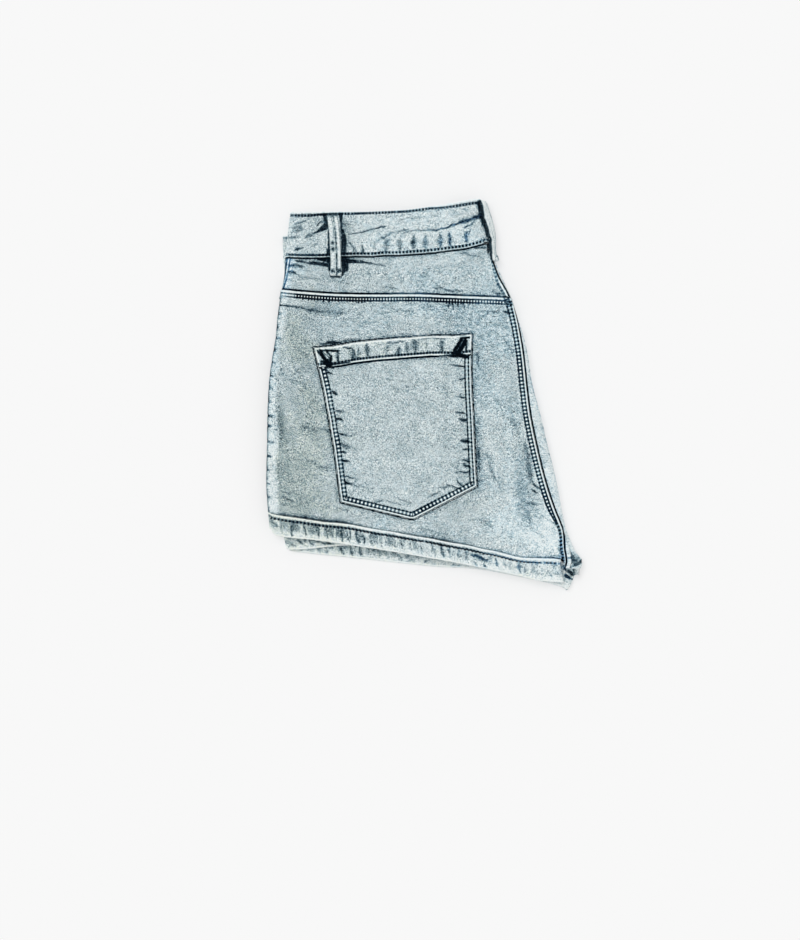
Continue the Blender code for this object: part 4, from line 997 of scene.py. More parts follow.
def left_panel(name, node, v, creases):
    rows = Rows(v)
    t = left_t(rows)
    base = rows.skin(t, SKIN)
    x, y = base[..., 0], base[..., 1]
    back = node == "back_left"
    yoke_away, yoke_along = YOKE_LINE.beside(x, y)
    centre_away, centre_along = CENTRE_LINE.beside(x, y)
    below, inside = -yoke_away, -centre_away - seam_in(y)
    fade, tint, trough = body_paint(x, y, creases)
    beyond = ease(-inside / 0.8)
    worn = ease((inside + 0.5) / 1.5) * (1 - ease((inside - 7.6) / 2.0))
    wear, blue, dashes = side_wear(x, y, back)
    fade = fade + 0.16 * beyond + 0.05 * worn + wear
    tint = tint + 1.6 * ease((-122 - y) / 12) * hill(inside - 1.2, 3.0) + 0.5 * beyond + blue
    lift = SKIN + undulation(x, y) - trough - dashes
    seam = felled(inside, centre_along, CENTRE_SEWING)
    if back:
        pocket_away, pocket_top = POCKET_LINE.beside(x, y)[0], -POCKET_TOP_LINE.beside(x, y)[0]
        under_pocket = np.minimum(pocket_away, pocket_top)
        covered = ease(under_pocket)
        # Round the pocket the dark line and soft shade fall on the panel: painted shadow of the pocket's
        # raised edge, with unfaded dye.
        pocket_rim = np.where(pocket_top > 0, under_pocket, pocket_top)
        rim = nearest(inside, below, np.where(pocket_rim > 0, FAR, pocket_rim))
        crease, crease_tint = hem_crease_ink(x, y)
        fade, tint = fade - INDIGO * crease, tint + crease_tint
        lift = lift + np.maximum(seam, felled(below, yoke_along, YOKE_SEWING))
        lift = np.where(covered > 0, np.minimum(lift, SKIN + 0.12), lift)
        level = sewn(below, yoke_along, YOKE_SEWING)
        upright = sewn(inside + CENTRE_SEWING.middle - rows_middle(y), centre_along, CENTRE_SEWING)
        upright[..., 2] = rows_half(y)
        by_yoke = below < inside
        rungs = np.where(by_yoke, ink(YOKE_INKS, "rungs", x), 0.3 + 0.6 * wander(y, 24, 58))
        line = np.where(by_yoke, ink(YOKE_INKS, "line", x), 1.0)
        kept = np.where(by_yoke, ink(YOKE_INKS, "rows", x), 1.0)
    else:
        inward = from_side(x, y)
        # Under the band and by the seams: dark lines and soft shade, unfaded dye with painted shade at each
        # step.
        rim = nearest(inside - YOKE_LINE_IN, below, y - band_bottom(x))
        lift = lift + seam
        level = no_sewing(x)
        middle = lerp(2.9, -0.2, clamp((123 - y) / 26))
        side = np.stack([inward - middle, 0 * x + PLAIN_LINES, 0 * x + SIDE_SEWING.half], -1)
        centre = sewn(inside - yoke_row_in(y), centre_along, YOKE_CENTRE_SEWING)
        upright = np.where((inward < 9)[..., None], side, centre)
        tint = tint + 0.5 * ease((6 - inward) / 2)
        line = np.where(inside < 6, 0.95, ink(YOKE_INKS, "line", x))
        line = np.where(y - band_bottom(x) > -4, 1.0, line)
        rungs, kept = 0.0, np.where(inside < 9, 0.55, 0.7)
    looks = looks_of(fade, tint, rim, level, upright, rungs, line, kept)
    return sheet_mesh(name, node, rows.skin(t, lift), rows.skin(t, np.full_like(t, GAP)), looks)


def right_panel(name, node, v):
    """The stretch of the right half that shows round the centre-back fold."""
    rows = Rows(v)
    t = lerp(rows.seam_t(0.3), WRAP_END, even_steps(0.0, 1.0, WRAP_COLUMNS) ** 1.15)
    base = rows.skin(t, SKIN)
    x, y = base[..., 0], base[..., 1]
    fade, tint = tone(x, y)
    round_fold = t * 9.0
    # The fold's own edge, where the dye has stayed in fine spots.
    spots = ease((drift(round_fold * 0.8, y, 1.3, 63) - 0.45) / 0.3) * ease((y + 90) / 60)
    edge = hill(x - fold_x(y), 1.3) * spots
    # Painted shade and shadow at the crotch corner.
    corner = np.maximum(strokes(CORNER_SHADE_BANDS, x, y), 1.2 * bars(CORNER_SHADOWS, x, y))
    # Painted light: the stretch round the fold is made 0.2 lighter, against the shade it falls in as it
    # turns down.
    fade = fade + 0.2 + 0.06 * (drift(round_fold, y, 3.0, 62) - 0.5) - INDIGO * corner - 0.42 * edge
    tint = clamp(tint + 0.6) + edge
    lift = SKIN + 0.3 * (drift(round_fold, y, 5.0, 61) - 0.5) - TROUGH * corner
    if node == "yoke_right":
        # Painted shadow and unfaded dye by the centre loop.
        fade = fade - 1.2 * INDIGO * loop_shadow_and_dye(x, y) * (t < 1.3)
        fade = fade + 0.14 * (t < 1.9) - 0.3 * hill(x - fold_x(y) - 0.2, 0.45)
        # Under the band: its dark line and soft shade, painted shadow of the band's edge with unfaded dye.
        rim = nearest(np.full_like(x, FAR), y - band_bottom(x))
    else:
        steps = np.linalg.norm(np.diff(base, axis=1), axis=2)
        from_seam = 0.3 + np.concatenate([0 * steps[:, :1], np.cumsum(steps, axis=1)], axis=1)
        # Beside the centre seam: its dark line and soft shade, unfaded dye with painted shade below the
        # seam's raised edge.
        rim = np.where(t < 1.9, -from_seam - 1.5 * seam_in(y), FAR)
    looks = looks_of(fade, tint, rim, no_sewing(x), no_sewing(x))
    return sheet_mesh(name, node, rows.skin(t, lift), rows.skin(t, np.full_like(t, GAP)), looks)


def make_panels(cloth):
    yoke_v = even_steps(1.0 + 0.3 / YOKE_HEIGHT, 2.0 - 0.1 / YOKE_HEIGHT, YOKE_ROWS)
    near = 2.0 + NEAR_SEAM / BACK_HEIGHT
    back_v = np.concatenate([
        even_steps(2.0 + 0.1 / BACK_HEIGHT, near, BACK_NEAR_ROWS),
        even_steps(near, 3.0 - 0.1 / BACK_HEIGHT, BACK_ROWS - BACK_NEAR_ROWS)[1:],
    ])
    cloth["yoke_left"] = left_panel("yoke_left_cloth", "yoke_left", yoke_v, YOKE_CREASES)
    cloth["back_left"] = left_panel("back_left_cloth", "back_left", back_v, BACK_CREASES)
    cloth["yoke_right"] = right_panel("yoke_right_cloth", "yoke_right", yoke_v[::2])
    cloth["back_right"] = right_panel("back_right_cloth", "back_right", back_v)


# ---------------------------------------------------------------- pocket

POCKET_COLUMNS = 252
POCKET_ROWS = 280
POCKET_HEM = 18.1         # depth of the turned hem
POCKET_SINK = 0.12        # how far the pocket's underside sits in the panel's unevenness


def make_pocket():
    s = np.broadcast_to(even_steps(0.0, 1.0, POCKET_COLUMNS), (POCKET_ROWS + 1, POCKET_COLUMNS + 1))
    x, y = pocket_edges(s, even_steps(0.0, 1.0, POCKET_ROWS)[:, None])
    away, along = POCKET_LINE.beside(x, y)
    top_away, top_along = POCKET_TOP_LINE.beside(x, y)
    from_top = -top_away
    hem_away = POCKET_HEM - from_top       # above the turned hem's lower edge
    in_hem = ease((hem_away + 0.2) / 0.6)
    fade, tint = tone(x, y)
    dark = strokes(POCKET_CREASES, x, y)
    inner = np.minimum(away, FAR) * (y < 30)
    dark = dark * (1.3 - 0.75 * ease((inner - 7.5) / 9))
    tack = bars(POCKET_TACKS, x, y) * (1 - 0.85 * bars(TACK_GLINTS, x, y))
    grain = 0.1 * ease((from_top - 2.6) / 2.0) * drift(x, y * 0.25, 2.2, 71) * in_hem
    fade = fade + 0.02 + 0.08 * in_hem - INDIGO * dark - grain - 0.8 * tack
    tint = tint * 0.4 + 0.05 - 0.35 * in_hem
    # The dark lines at the pocket's edges and under its turned hem are unfaded dye with painted shade at
    # each step.
    rim = nearest(np.where(away < 9, away, FAR), from_top, hem_away)
    rim = np.where((tack > 0.4) & (np.abs(hem_away) < 3) & (away > 2.5), FAR, rim)
    by_rows = (away > 1.8) * (away < 7) * (1 - in_hem)
    rows = np.maximum(SEAM_RISE - felled(away, along, POCKET_SEWING) * by_rows, 0.0) * by_rows
    ridge = 0.28 * hill(away - 1.6, 1.1) * (1 - in_hem) + 0.25 * hill(from_top - 1.4, 1.1)
    row = GROOVE * hill(hem_away - POCKET_HEM_SEWING.middle, 0.7) * in_hem
    bulge = 0.25 * ease(away / 22) * ease(from_top / 30)
    rounded = 0.7 * (1 - ease(np.minimum(away, from_top) / 0.8))
    lift = SKIN + GAP + POCKET_WALL + POCKET_HEM_RISE * in_hem + ridge - rows - row - rounded + bulge
    lift = lift + 0.8 * undulation(x, y) - TROUGH * dark + 0.25 * tack
    z = top_z(x, y)
    outer = np.stack([x, y, z + lift], -1)
    under = np.stack([x, y, z + SKIN + GAP - POCKET_SINK], -1)
    hemmed = (in_hem > 0.5)[..., None]
    level = np.where(hemmed, sewn(hem_away, top_along, POCKET_HEM_SEWING), no_sewing(x))
    upright = np.where(hemmed, no_sewing(x), sewn(away, along, POCKET_SEWING))
    foot = ease((-76 - y) / 6) * (x > -70)
    left_side = ease((-60 - x) / 6)
    rungs = 0.12 + foot * lerp(0.35, 0.6, ease((x + 20) / 20)) + 0.35 * left_side * (1 - foot)
    rungs = rungs * (0.3 + 1.3 * wander(along, 22, 59))
    looks = looks_of(fade, tint, rim, level, upright, rungs, 1.0, 0.85)
    return sheet_mesh("pocket_left_cloth", "pocket_left", outer, under, looks)


# ---------------------------------------------------------------- folded rings

# A run is a straight stretch of one layer and a turn the half circle that joins two layers, as in the
# part; step is the distance between its stations.
Run = namedtuple("Run", "layer start end facing step")
Turn = namedtuple("Turn", "first second edge way facing")
LEG_LAYERS = ("right_back", "right_front", "left_front", "left_back")
TOP_LAYER = STACK - 1
HEM_SIDE = -140.9
HEM_CORNER = 6.4
HEM_CORNER_RUN = 9.0
TURN_STATIONS = 10
TURN_LENGTH = 14.0        # of cloth, for what runs along a ring
FINE, PLAIN = 0.55, 2.4
# Each hem: the lower of its two layers, the outline at its side, x of its inner end at its crease and at
# its edge, how that end bends between them, and the steps of its upper and its lower run.
HemRing = namedtuple("HemRing", "low outline inner inner_edge bend steps")
HEM_RINGS = {
    "hem_left": HemRing(2, upper_x, 122.9, 125.8, 2.0, (0.75, PLAIN)),
    "hem_right": HemRing(0, lower_x, 138.0, 130.2, 1.3, (1.1, 1.4)),
}


def waist_drop(layer, x):
    if layer == TOP_LAYER:
        return 0.0 * x
    s = clamp((x - DROP_FROM) / (DROP_TO - DROP_FROM))
    f = clamp((x - DROP_FROM) / (CENTRE_FRONT - DROP_FROM))
    drops = (lerp(DROP_SIDE, 0.0, s), lerp(DROP_SIDE, DROP_FRONT, f), lerp(0.0, DROP_FRONT, f))
    return drops[layer]


def waist_lines(layer, x, w):
    return lerp(waist_top(x), band_bottom(x), w) - waist_drop(layer, x)


def hem_lines(layer, x, w):
    edge = hem_edge[LEG_LAYERS[layer]](x)
    crease = edge + HEM_HEIGHT
    if layer == 2:
        crease = crease - HEM_CORNER * (1.0 - ease((x - HEM_SIDE) / HEM_CORNER_RUN))
    if layer == TOP_LAYER:
        crease = hem_crease(np.minimum(x, HEM_RINGS["hem_left"].inner)) - GAP
    return lerp(crease, edge, w)


def layer_z(layer, x, y):
    low = FOLDED / 2
    return lerp(low, top_z(x, y) + GAP + low, layer / TOP_LAYER)


def turn_frame(turn, lines, w):
    """x and z of the middle of a turn, and its radius."""
    x = turn.edge(w)
    y = lines(turn.first, x, w)
    z0, z1 = (layer_z(layer, x, y) for layer in (turn.first, turn.second))
    radius = (z1 - z0) / 2
    return x - turn.way * (np.abs(radius) + FOLDED / 2), (z0 + z1) / 2, radius


def ring_place(part, amount, lines, w):
    """Middle of the cloth at an amount along a part of a ring, and the way its outside faces."""
    if isinstance(part, Run):
        x = lerp(turn_frame(part.start, lines, w)[0], turn_frame(part.end, lines, w)[0], amount)
        y = lines(part.layer, x, w)
        place = np.stack([x, y, layer_z(part.layer, x, y)], -1)
        return place, np.broadcast_to([0.0, 0.0, part.facing], place.shape)
    x_centre, z_centre, radius = turn_frame(part, lines, w)
    x_edge = part.edge(w)
    sine, cosine = np.sin(math.pi * amount), np.cos(math.pi * amount)
    x = x_centre + part.way * sine * np.abs(radius)
    y = lerp(lines(part.first, x_edge, w), lines(part.second, x_edge, w), ease(amount))
    away = [part.way * sine + 0 * x, 0 * x, -cosine * np.sign(radius) + 0 * x]
    return np.stack([x, y, z_centre - cosine * radius], -1), part.facing * np.stack(away, -1)


def half_section(count, rounding=3, rim=0.06):
    """Places across a band, close together at its two rounded edges, and shares of its thickness."""
    corner = 0.5 * (1 - np.cos(np.linspace(0, math.pi / 2, rounding + 1)))[:-1] * rim
    w = np.concatenate([corner, np.linspace(rim, 1 - rim, count), 1 - corner[::-1]])
    inset = clamp(np.minimum(w, 1 - w) / rim)
    return w, 0.42 + 0.58 * np.sqrt(1 - (1 - inset) ** 2)


def stations_of(loop, lines, w):
    """Round a ring, for each station: its layer, how far round it is, its places and its facings."""
    travelled = 0.0
    for part in loop:
        if isinstance(part, Run):
            length = abs(float(part.end.edge(np.array(0.5)) - part.start.edge(np.array(0.5))))
            count, layers = int(length / part.step), (part.layer, part.layer)
        else:
            length, count, layers = TURN_LENGTH, TURN_STATIONS, (part.first, part.second)
        for k in range(count):
            amount = k / count
            place, away = ring_place(part, amount, lines, w)
            yield layers[0 if amount < 0.5 else 1], travelled + amount * length, place, away
        travelled += length


def ring(name, node, loop, lines, counts, relief):
    """A folded ring of cloth. relief(layer, x, y, w, s) gives its lift and what its paint reads."""
    w_out, share_out = half_section(counts[0])
    w_in, share_in = half_section(counts[1])
    w = np.concatenate([w_out, w_in[::-1]])
    share = np.concatenate([share_out, -share_in[::-1]])
    outside = share > 0
    rows, every = [], []
    for layer, s, place, away in stations_of(loop, lines, w):
        x, y = place[:, 0], place[:, 1]
        lift, looks = relief(layer, x, y, w, s)
        out = share * FOLDED / 2 + lift * outside * np.abs(share)
        if layer == TOP_LAYER:
            out = out + folds(BAND_FOLDS, x, y) * outside * clamp(away[:, 2])
        place = place + out[:, None] * away
        place[:, 2] = np.maximum(place[:, 2], 0.0)
        rows.append(place)
        every.append(looks)
    looks = {key: np.concatenate([look[key] for look in every]) for key in every[0]}
    faces = grid_faces(len(rows), len(w), wrap=True, back=True)
    item = make_object(name, np.concatenate(rows), faces, looks)
    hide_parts(node)
    return item


WORN_EDGE = 0.75          # so much further from the waist's edge, where the dark line isn't seen
LAYER_CREASES = {0: RIGHT_BACK_CREASES, 1: RIGHT_FRONT_CREASES, 3: HEM_CREASES}
# How much lower than elsewhere the band's upper row runs, by x.
ROW_DROP_X = [-125, -106, -94, -82, -60, -10, 2, 14, 25, 37, 50]
band_row_drop = smooth(ROW_DROP_X, [1.1, 1.4, 0.6, 0.0, -0.3, -0.6, -0.6, 0.6, 1.2, 1.5, 1.6])


def streaks(along, across_it, size, seed):
    """Puckers side by side along a sewn edge, 0 to 1."""
    fine = drift(along, across_it * 0.16, size, seed)
    broad = drift(along, across_it * 0.3, size * 5, seed + 1)
    return ease((fine + 0.45 * broad - 0.62) / 0.42)


def puckers(along, across_it, size, seed, start, run):
    """Sparse puckers along a hidden sewn edge, 0 to 1."""
    return ease((drift(along, across_it, size, seed) - start) / run)


def band_relief(layer, x, y, w, s):
    top, low = w * BAND_HEIGHT, (1 - w) * BAND_HEIGHT
    on_top = layer == TOP_LAYER
    if on_top:
        fade, tint, trough = body_paint(x, y, BAND_CREASES)
    else:
        along = s + 0 * x
        fade, tint = tone(along, y)
        by_top = puckers(along, y * 0.35, 3.2, 81, 0.72, 0.14) * ease((13 - top) / 10)
        by_foot = puckers(along, y * 0.35, 3.2, 82, 0.74, 0.14) * ease((11 - low) / 9)
        dark = 0.8 * np.maximum(by_top, by_foot)
        fade, trough = fade - INDIGO * dark, TROUGH * dark
    fade = fade + 0.09
    tint = tint + 0.1 + 1.5 * trough / TROUGH * ease((x + 15) / 20) * on_top
    rim = nearest(np.where(top < 12, top + WORN_EDGE, FAR), np.where(low < 12, low, FAR))
    top_row = top - (band_row_drop(x) if on_top else 0.0)
    rows = hill(top_row - BAND_TOP_SEWING.middle, 0.7) + hill(low - BAND_LOW_SEWING.middle, 0.7)
    lift = undulation(x, y) - trough - GROOVE * rows
    upper = top < low
    level = np.where(upper[:, None], sewn(top_row, s, BAND_TOP_SEWING), sewn(low, s, BAND_LOW_SEWING))
    kept = np.where(upper, ink(WAIST_INKS, "rows", x), ink(BAND_INKS, "rows", x))
    line = np.where(upper, 1.0, ink(BAND_INKS, "line", x))
    return lift, looks_of(fade, tint, rim, level, no_sewing(x), 0.0, line, kept)


def hem_relief(layer, x, y, w, s):
    top, low = w * HEM_HEIGHT, (1 - w) * HEM_HEIGHT
    along = s + 0 * x
    if layer in LAYER_CREASES:
        fade, tint = tone(x, y)
        dark = strokes(LAYER_CREASES[layer], x, y)
    else:
        fade, tint = tone(along, y)
        dark = 0.85 * puckers(along, y * 0.6, 3.0, 83, 0.66, 0.16)
    if layer in (1, 3):
        # Painted shadow at the crotch corner.
        dark = np.maximum(dark, 1.2 * bars(CORNER_SHADOWS, x, y))
    tufts = streaks(along if layer == 2 else x, y, 2.3, 84)
    from_row = ease((top - HEM_SEWING.middle) / 1.2) * (1 - ease((top - 12.5) / 6.0))
    dark = np.maximum(dark, tufts * from_row * (0.62 - 0.3 * ease((x + 60) / 120)))
    worn = ease((low - 0.3) / 1.0) * (1 - ease((low - 4.2) / 2.0))
    fade = fade - INDIGO * dark + 0.12 + 0.1 * worn
    edges = hill(top - HEM_SEWING.middle, 1.4) + hill(top, 1.6)
    tint = tint - 0.3 - 0.5 * ease((-50 - x) / 40) + 1.7 * ease((x - 20) / 60) * edges
    tint = tint + 1.9 * dark * ease((x + 10) / 50)
    rows = hill(top - HEM_SEWING.middle, 0.75)
    lift = undulation(x, y) - TROUGH * dark - GROOVE * rows + 0.3 * hill(top - 2.0, 1.5)
    # The thin dark line at the lower edge is painted shade where it meets the layer under it.
    rim = nearest(np.where(top < 9, top, FAR), np.where(low < 9, low + 0.35, FAR))
    kept = [ink(HEM_INKS, name, x) for name in ("line", "rows")]
    return lift, looks_of(fade, tint, rim, sewn(top, s, HEM_SEWING), no_sewing(x), 0.0, *kept)


def edge_crossing(outline, lines, layer):
    return lambda w: crossing(outline, lambda x: lines(layer, x, w), w)


def make_waistband():
    centre_back = Turn(3, 0, edge_crossing(fold_x, waist_lines, 3), 1, 1)
    right_side = Turn(0, 1, edge_crossing(lower_x, waist_lines, 0), -1, 1)
    centre_front = Turn(1, 2, lambda w: CENTRE_FRONT + 0.0 * w, 1, -1)
    left_side = Turn(2, 3, edge_crossing(upper_x, waist_lines, 3), -1, 1)
    loop = [
        Run(3, left_side, centre_back, 1, FINE), centre_back,
        Run(0, centre_back, right_side, -1, PLAIN), right_side,
        Run(1, right_side, centre_front, 1, PLAIN), centre_front,
        Run(2, centre_front, left_side, -1, PLAIN), left_side,
    ]
    return ring("waistband_cloth", "waistband", loop, waist_lines, (72, 12), band_relief)


def make_hem(name, node):
    hem = HEM_RINGS[node]
    low, high = hem.low, hem.low + 1
    inner = Turn(high, low, lambda w: lerp(hem.inner, hem.inner_edge, np.asarray(w) ** hem.bend), 1, 1)
    outer = Turn(low, high, edge_crossing(hem.outline, hem_lines, high), -1, 1)
    up, down = hem.steps
    loop = [Run(high, outer, inner, 1, up), inner, Run(low, inner, outer, -1, down), outer]
    return ring(name, node, loop, hem_lines, (34, 9), hem_relief)


# ---------------------------------------------------------------- hidden layers

LOWER_LOBE = 0.655        # where the left front's level starts, as a share of the height
RIGHT_GROOVE = 0.312      # the groove between the right back and the right front
CAP_COLUMNS = [0.0, 0.2, 0.5, 1.0, 1.6, 2.2, 3.0, SIDE_RUN]
SETTLE = 0.3
FOLD_COLUMNS = np.linspace(17.0, 0.0, 29)
COLUMNS = 90
ROWS = 170
END_ROWS = 40             # of them close together at the leg's end
END_SHARE = 0.07
WAIST_CLEARANCE = 0.4
FLAT_INSET = 2.4
LEG_CLEARANCE = 1.2
CROTCH_TIP = -153.5
FRONT_CORNER = -162.6


def leg_end(layer, x):
    crease = hem_edge[LEG_LAYERS[layer]](x) + HEM_HEIGHT + LEG_CLEARANCE
    if layer == 2:
        inner_edge = HEM_RINGS["hem_left"].inner_edge
        crease = lerp(crease, FRONT_CORNER, ease((x - inner_edge - 0.8) / 2.5))
    return crease


def waist_start(layer, x):
    keep = 1.0 if layer == 0 else 1.0 - ease((x - CENTRE_FRONT - 9.0) / 5.0)
    return band_bottom(x) - waist_drop(layer, x) * keep - WAIST_CLEARANCE


def hidden_sheet(share, layer):
    """The points of one level of the hidden layers: rows by columns."""
    far = np.linspace(0.0, 1 - END_SHARE, ROWS - END_ROWS + 1)
    w = np.concatenate([far, np.linspace(1 - END_SHARE, 1.0, END_ROWS + 1)[1:]])[:, None]

    def row(x):
        return lerp(waist_start(layer, x), leg_end(layer, x), w)

    def fold_row(x):
        return lerp(band_bottom(x) - WAIST_CLEARANCE, CROTCH_TIP, w)

    x_fold = crossing(fold_edge, fold_row, w)
    y_fold = fold_row(x_fold)
    run = fold_run(y_fold)
    crown = flat_top(y_fold)
    z_fold = crown * share
    middle = (crown + SKIN) / 2
    reach = np.sqrt(np.maximum(0.0, 1.0 - ((z_fold - middle) / (crown - middle)) ** 2))
    wrap_x = math.sin((WRAP_END - 1) * math.pi / 2)
    low_right = x_fold - SETTLE - run * (1 - wrap_x) - FLAT_INSET
    x_right = np.where(z_fold < SKIN + 1.0, low_right, x_fold - SETTLE - run * (1 - reach))
    if layer < 2:
        off_middle = (share - LOWER_LOBE / 2) / (LOWER_LOBE / 2)
        inset = 3.0 * (1 - math.sqrt(1 - min(off_middle ** 2, 0.98)))
        x_left = crossing(lambda y: lower_x(y) + inset, row, w)
    else:
        x_left = crossing(side_edge, row, w) + column(FRONT_LOBE, "out")(np.array(share))
    cap = x_left + np.array(CAP_COLUMNS)[None, :]
    fold_part = x_right - FOLD_COLUMNS[None, :]
    count = COLUMNS + 1 - len(CAP_COLUMNS) - len(FOLD_COLUMNS)
    steps = (np.arange(count) + 1) / (count + 1)
    x = np.hstack([cap, lerp(cap[:, -1:], fold_part[:, :1], steps[None, :]), fold_part])
    y = row(x)
    y[:, -1:] = fold_row(x[:, -1:])
    z = flat_top(y) * share
    if share == 1.0:
        z = z - SETTLE
        turn = clamp(1 - (x - x_left) / SIDE_RUN)
        rise = z * (1 - SEAM_LINE)
        z = z - rise + rise * np.sqrt(1 - turn * turn)
    return np.stack([x, y, z], -1)


def make_hidden_layers():
    block = np.stack([hidden_sheet(level.share, level.layer) for level in LEVELS])
    k, j, i = np.indices(block.shape[:3])
    last_level, last_row, last_column = (size - 1 for size in block.shape[:3])
    wavy = 0.22 * (drift(block[..., 0] + 40 * k, block[..., 1], 5.0, 91) - 0.5)
    wavy = wavy * ((k > 0) & (k < last_level))
    block[..., 0] -= wavy * (i == 0)
    block[..., 1] += wavy * (j == 0) - wavy * (j == last_row)
    skin = (k % last_level == 0) | (j % last_row == 0) | (i % last_column == 0)
    index = np.full(block.shape[:3], -1)
    index[skin] = np.arange(skin.sum())
    sides = (
        (index[0], 1), (index[-1], -1), (index[:, 0], -1), (index[:, -1], 1),
        (index[:, :, 0], 1), (index[:, :, -1], -1),
    )
    faces = []
    for g, way in sides:
        quads = np.stack([g[:-1, :-1], g[:-1, 1:], g[1:, 1:], g[1:, :-1]], -1).reshape(-1, 4)
        faces.extend(quads[:, ::way].tolist())
    points = block[skin]
    x, y, z = points.T
    fade, tint = tone(x, y)
    # Painted shade and shadow at the crotch corner, on the hidden layers' edges.
    marks = bars(CORNER_SHADOWS, x, y) * ease((135.5 - x) / 2.5)
    below = z < 0.3
    fade = fade - INDIGO * np.maximum(strokes(CORNER_SHADE_BANDS, x, y), 1.2 * marks)
    fade = fade - INDIGO * strokes(UNDERSIDE_CREASES, x, y) * below
    share = z / flat_top(y)
    # The grooves between the layers take a seam's dark line and shade: painted shade between the layers.
    rim = nearest(*[(share - groove) * 12 - 0.7 for groove in (RIGHT_GROOVE, LOWER_LOBE)])
    yoke_away, yoke_along = YOKE_LINE.beside(x, y + waist_drop(0, x))
    rim = np.where(below, -yoke_away, rim)
    level = np.where(below[:, None], sewn(-yoke_away, yoke_along, YOKE_SEWING), no_sewing(x))
    looks = looks_of(fade, tint, rim, level, no_sewing(x), 0.8)
    item = make_object("hidden_layers_cloth", points, faces, looks)
    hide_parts("hidden_layers")
    return item


# ---------------------------------------------------------------- belt loops

LOOP_COLUMNS = 28
LOOP_ROWS = 140
LOOP_STEP = 3.0           # how far the left loop takes to come down off the band
CENTRE_LOOP_LENGTH = 52.0
CENTRE_LOOP_TUCK = 2.2    # how far above its foot the centre loop ends
BAND_AT_FOLD = 138.0      # height of the band's lower edge at the fold


def loop_object(name, node, place, length, paint):
    """place(side, v, lift) puts the loop; v runs from 0 at its top to 1 at its foot. Across it there are
    folded edges, and a lip along the middle where its edges meet."""
    side, v = np.meshgrid(np.linspace(-1.0, 1.0, LOOP_COLUMNS + 1), np.linspace(0.0, 1.0, LOOP_ROWS + 1))
    crown = 0.35 + 0.65 * np.sqrt(1 - (1 - clamp((1 - np.abs(side)) / 0.22)) ** 2)
    crown = crown - 0.28 * (hill(side + 0.12, 0.07) + hill(side - 0.2, 0.07))
    crown = crown + 0.1 * hill(np.abs(side) - 0.55, 0.25)
    y = v * length
    tack = hill(y - 1.2, 0.8) + hill(y - (length - 4.6), 0.8)
    end = 0.3 + 0.7 * np.sqrt(1 - (1 - clamp(np.minimum(y, length - y) / 1.2)) ** 2)
    foot = 0.35 * ease((y - length + 5.2) / 0.8)
    wrinkle = 0.25 * (drift(side * LOOP_WIDTH / 2, y, 2.4, 95) - 0.5)
    outer = place(side, v, LOOP_WALL * (crown + foot) * end - 0.35 * tack + wrinkle)
    fade = paint(side * LOOP_WIDTH / 2, y, outer)
    looks = looks_of(fade, 0 * fade - 0.1, FAR, no_sewing(fade), no_sewing(fade))
    return sheet_mesh(name, node, outer, place(side, v, 0 * v), looks)


def left_loop_paint(x, y, places):
    speck = drift(x, y, 1.1, 96)
    dotted = 0.45 + 0.75 * drift(0 * x, y, 1.5, 97)
    line = hill(x - 1.0, 0.95) * dotted * (1.1 - 0.45 * ease((22 - y) / 5))
    second = 0.5 * hill(x + 0.6, 0.4) * (1 - ease((y - 20) / 6)) * (0.5 + speck)
    edge = 0.5 * hill(np.abs(x) - LOOP_WIDTH / 2, 0.5)
    dots = [dot.ink * hill(np.hypot(x - dot.x, (y - dot.y) * 0.8), dot.size) for dot in LOOP_DOTS]
    return 0.93 + 0.14 * (speck - 0.5) + 0.06 * ease(x / 2) - 0.9 * largest(line, second, edge, *dots)


def centre_loop_paint(x, y, places):
    """White, but dark with unfaded dye and painted shadow where the loop turns down beside the gap, and
    greyer round its outer side.
    """
    past_gap = places[..., 0] - gap_right(places[..., 1])
    # Painted shadow where the loop turns down into the gap.
    hidden = 1 - ease(past_gap / 0.9 + 0.5)
    vein = 0.22 * hill(past_gap - 2.6, 0.5) * ease((y - 14) / 5)
    tick = 0.6 * hill(y - 48.6, 0.9) * ease((x + 2.5) / 2.0) * ease((4.2 - x) / 0.8)
    outline = 0.3 * ease((x + 0.4) / 2.4)
    return 1.02 + 0.1 * (drift(x, y, 1.1, 98) - 0.5) - vein - tick - outline - hidden


def make_left_loop(name, node):
    length = LOOP_TOP.y - LOOP_FOOT.y

    def place(side, v, lift):
        y = LOOP_TOP.y - v * length
        middle = lerp(LOOP_TOP.x, LOOP_FOOT.x, v) + LOOP_BOW * np.sin(math.pi * v)
        swell = 1 + 0.16 * hill(y - LOOP_FOOT.y - 2.6, 2.4)
        off = ease((band_bottom(middle) - 1.2 - y) / LOOP_STEP)
        z = top_z(middle, y) + GAP + lerp(BAND_OUT, SKIN, off) + lift
        return np.stack([middle + side * swell * LOOP_WIDTH / 2, y, z], -1)

    return loop_object(name, node, place, length, left_loop_paint)


def make_centre_loop(name, node):
    v_end = 1.0 - (CENTRE_LOOP_FOOT + CENTRE_LOOP_TUCK - BAND_AT_FOLD) / YOKE_HEIGHT
    rows = Rows(np.linspace(0.03, v_end, LOOP_ROWS + 1))

    def place(side, v, lift):
        t = lerp(*CENTRE_LOOP_SPAN, (side + 1) / 2)
        stand = CENTRE_LOOP_LIFT * np.sin(math.pi * clamp(rows.v / 1.1)) ** 0.8
        base = GAP + lerp(BAND_OUT, SKIN + SEAM_RISE + 0.1, ease((rows.v - 1.06) / 0.1))
        return rows.skin(t, base + stand + lift)

    return loop_object(name, node, place, CENTRE_LOOP_LENGTH, centre_loop_paint)


# ---------------------------------------------------------------- stitches

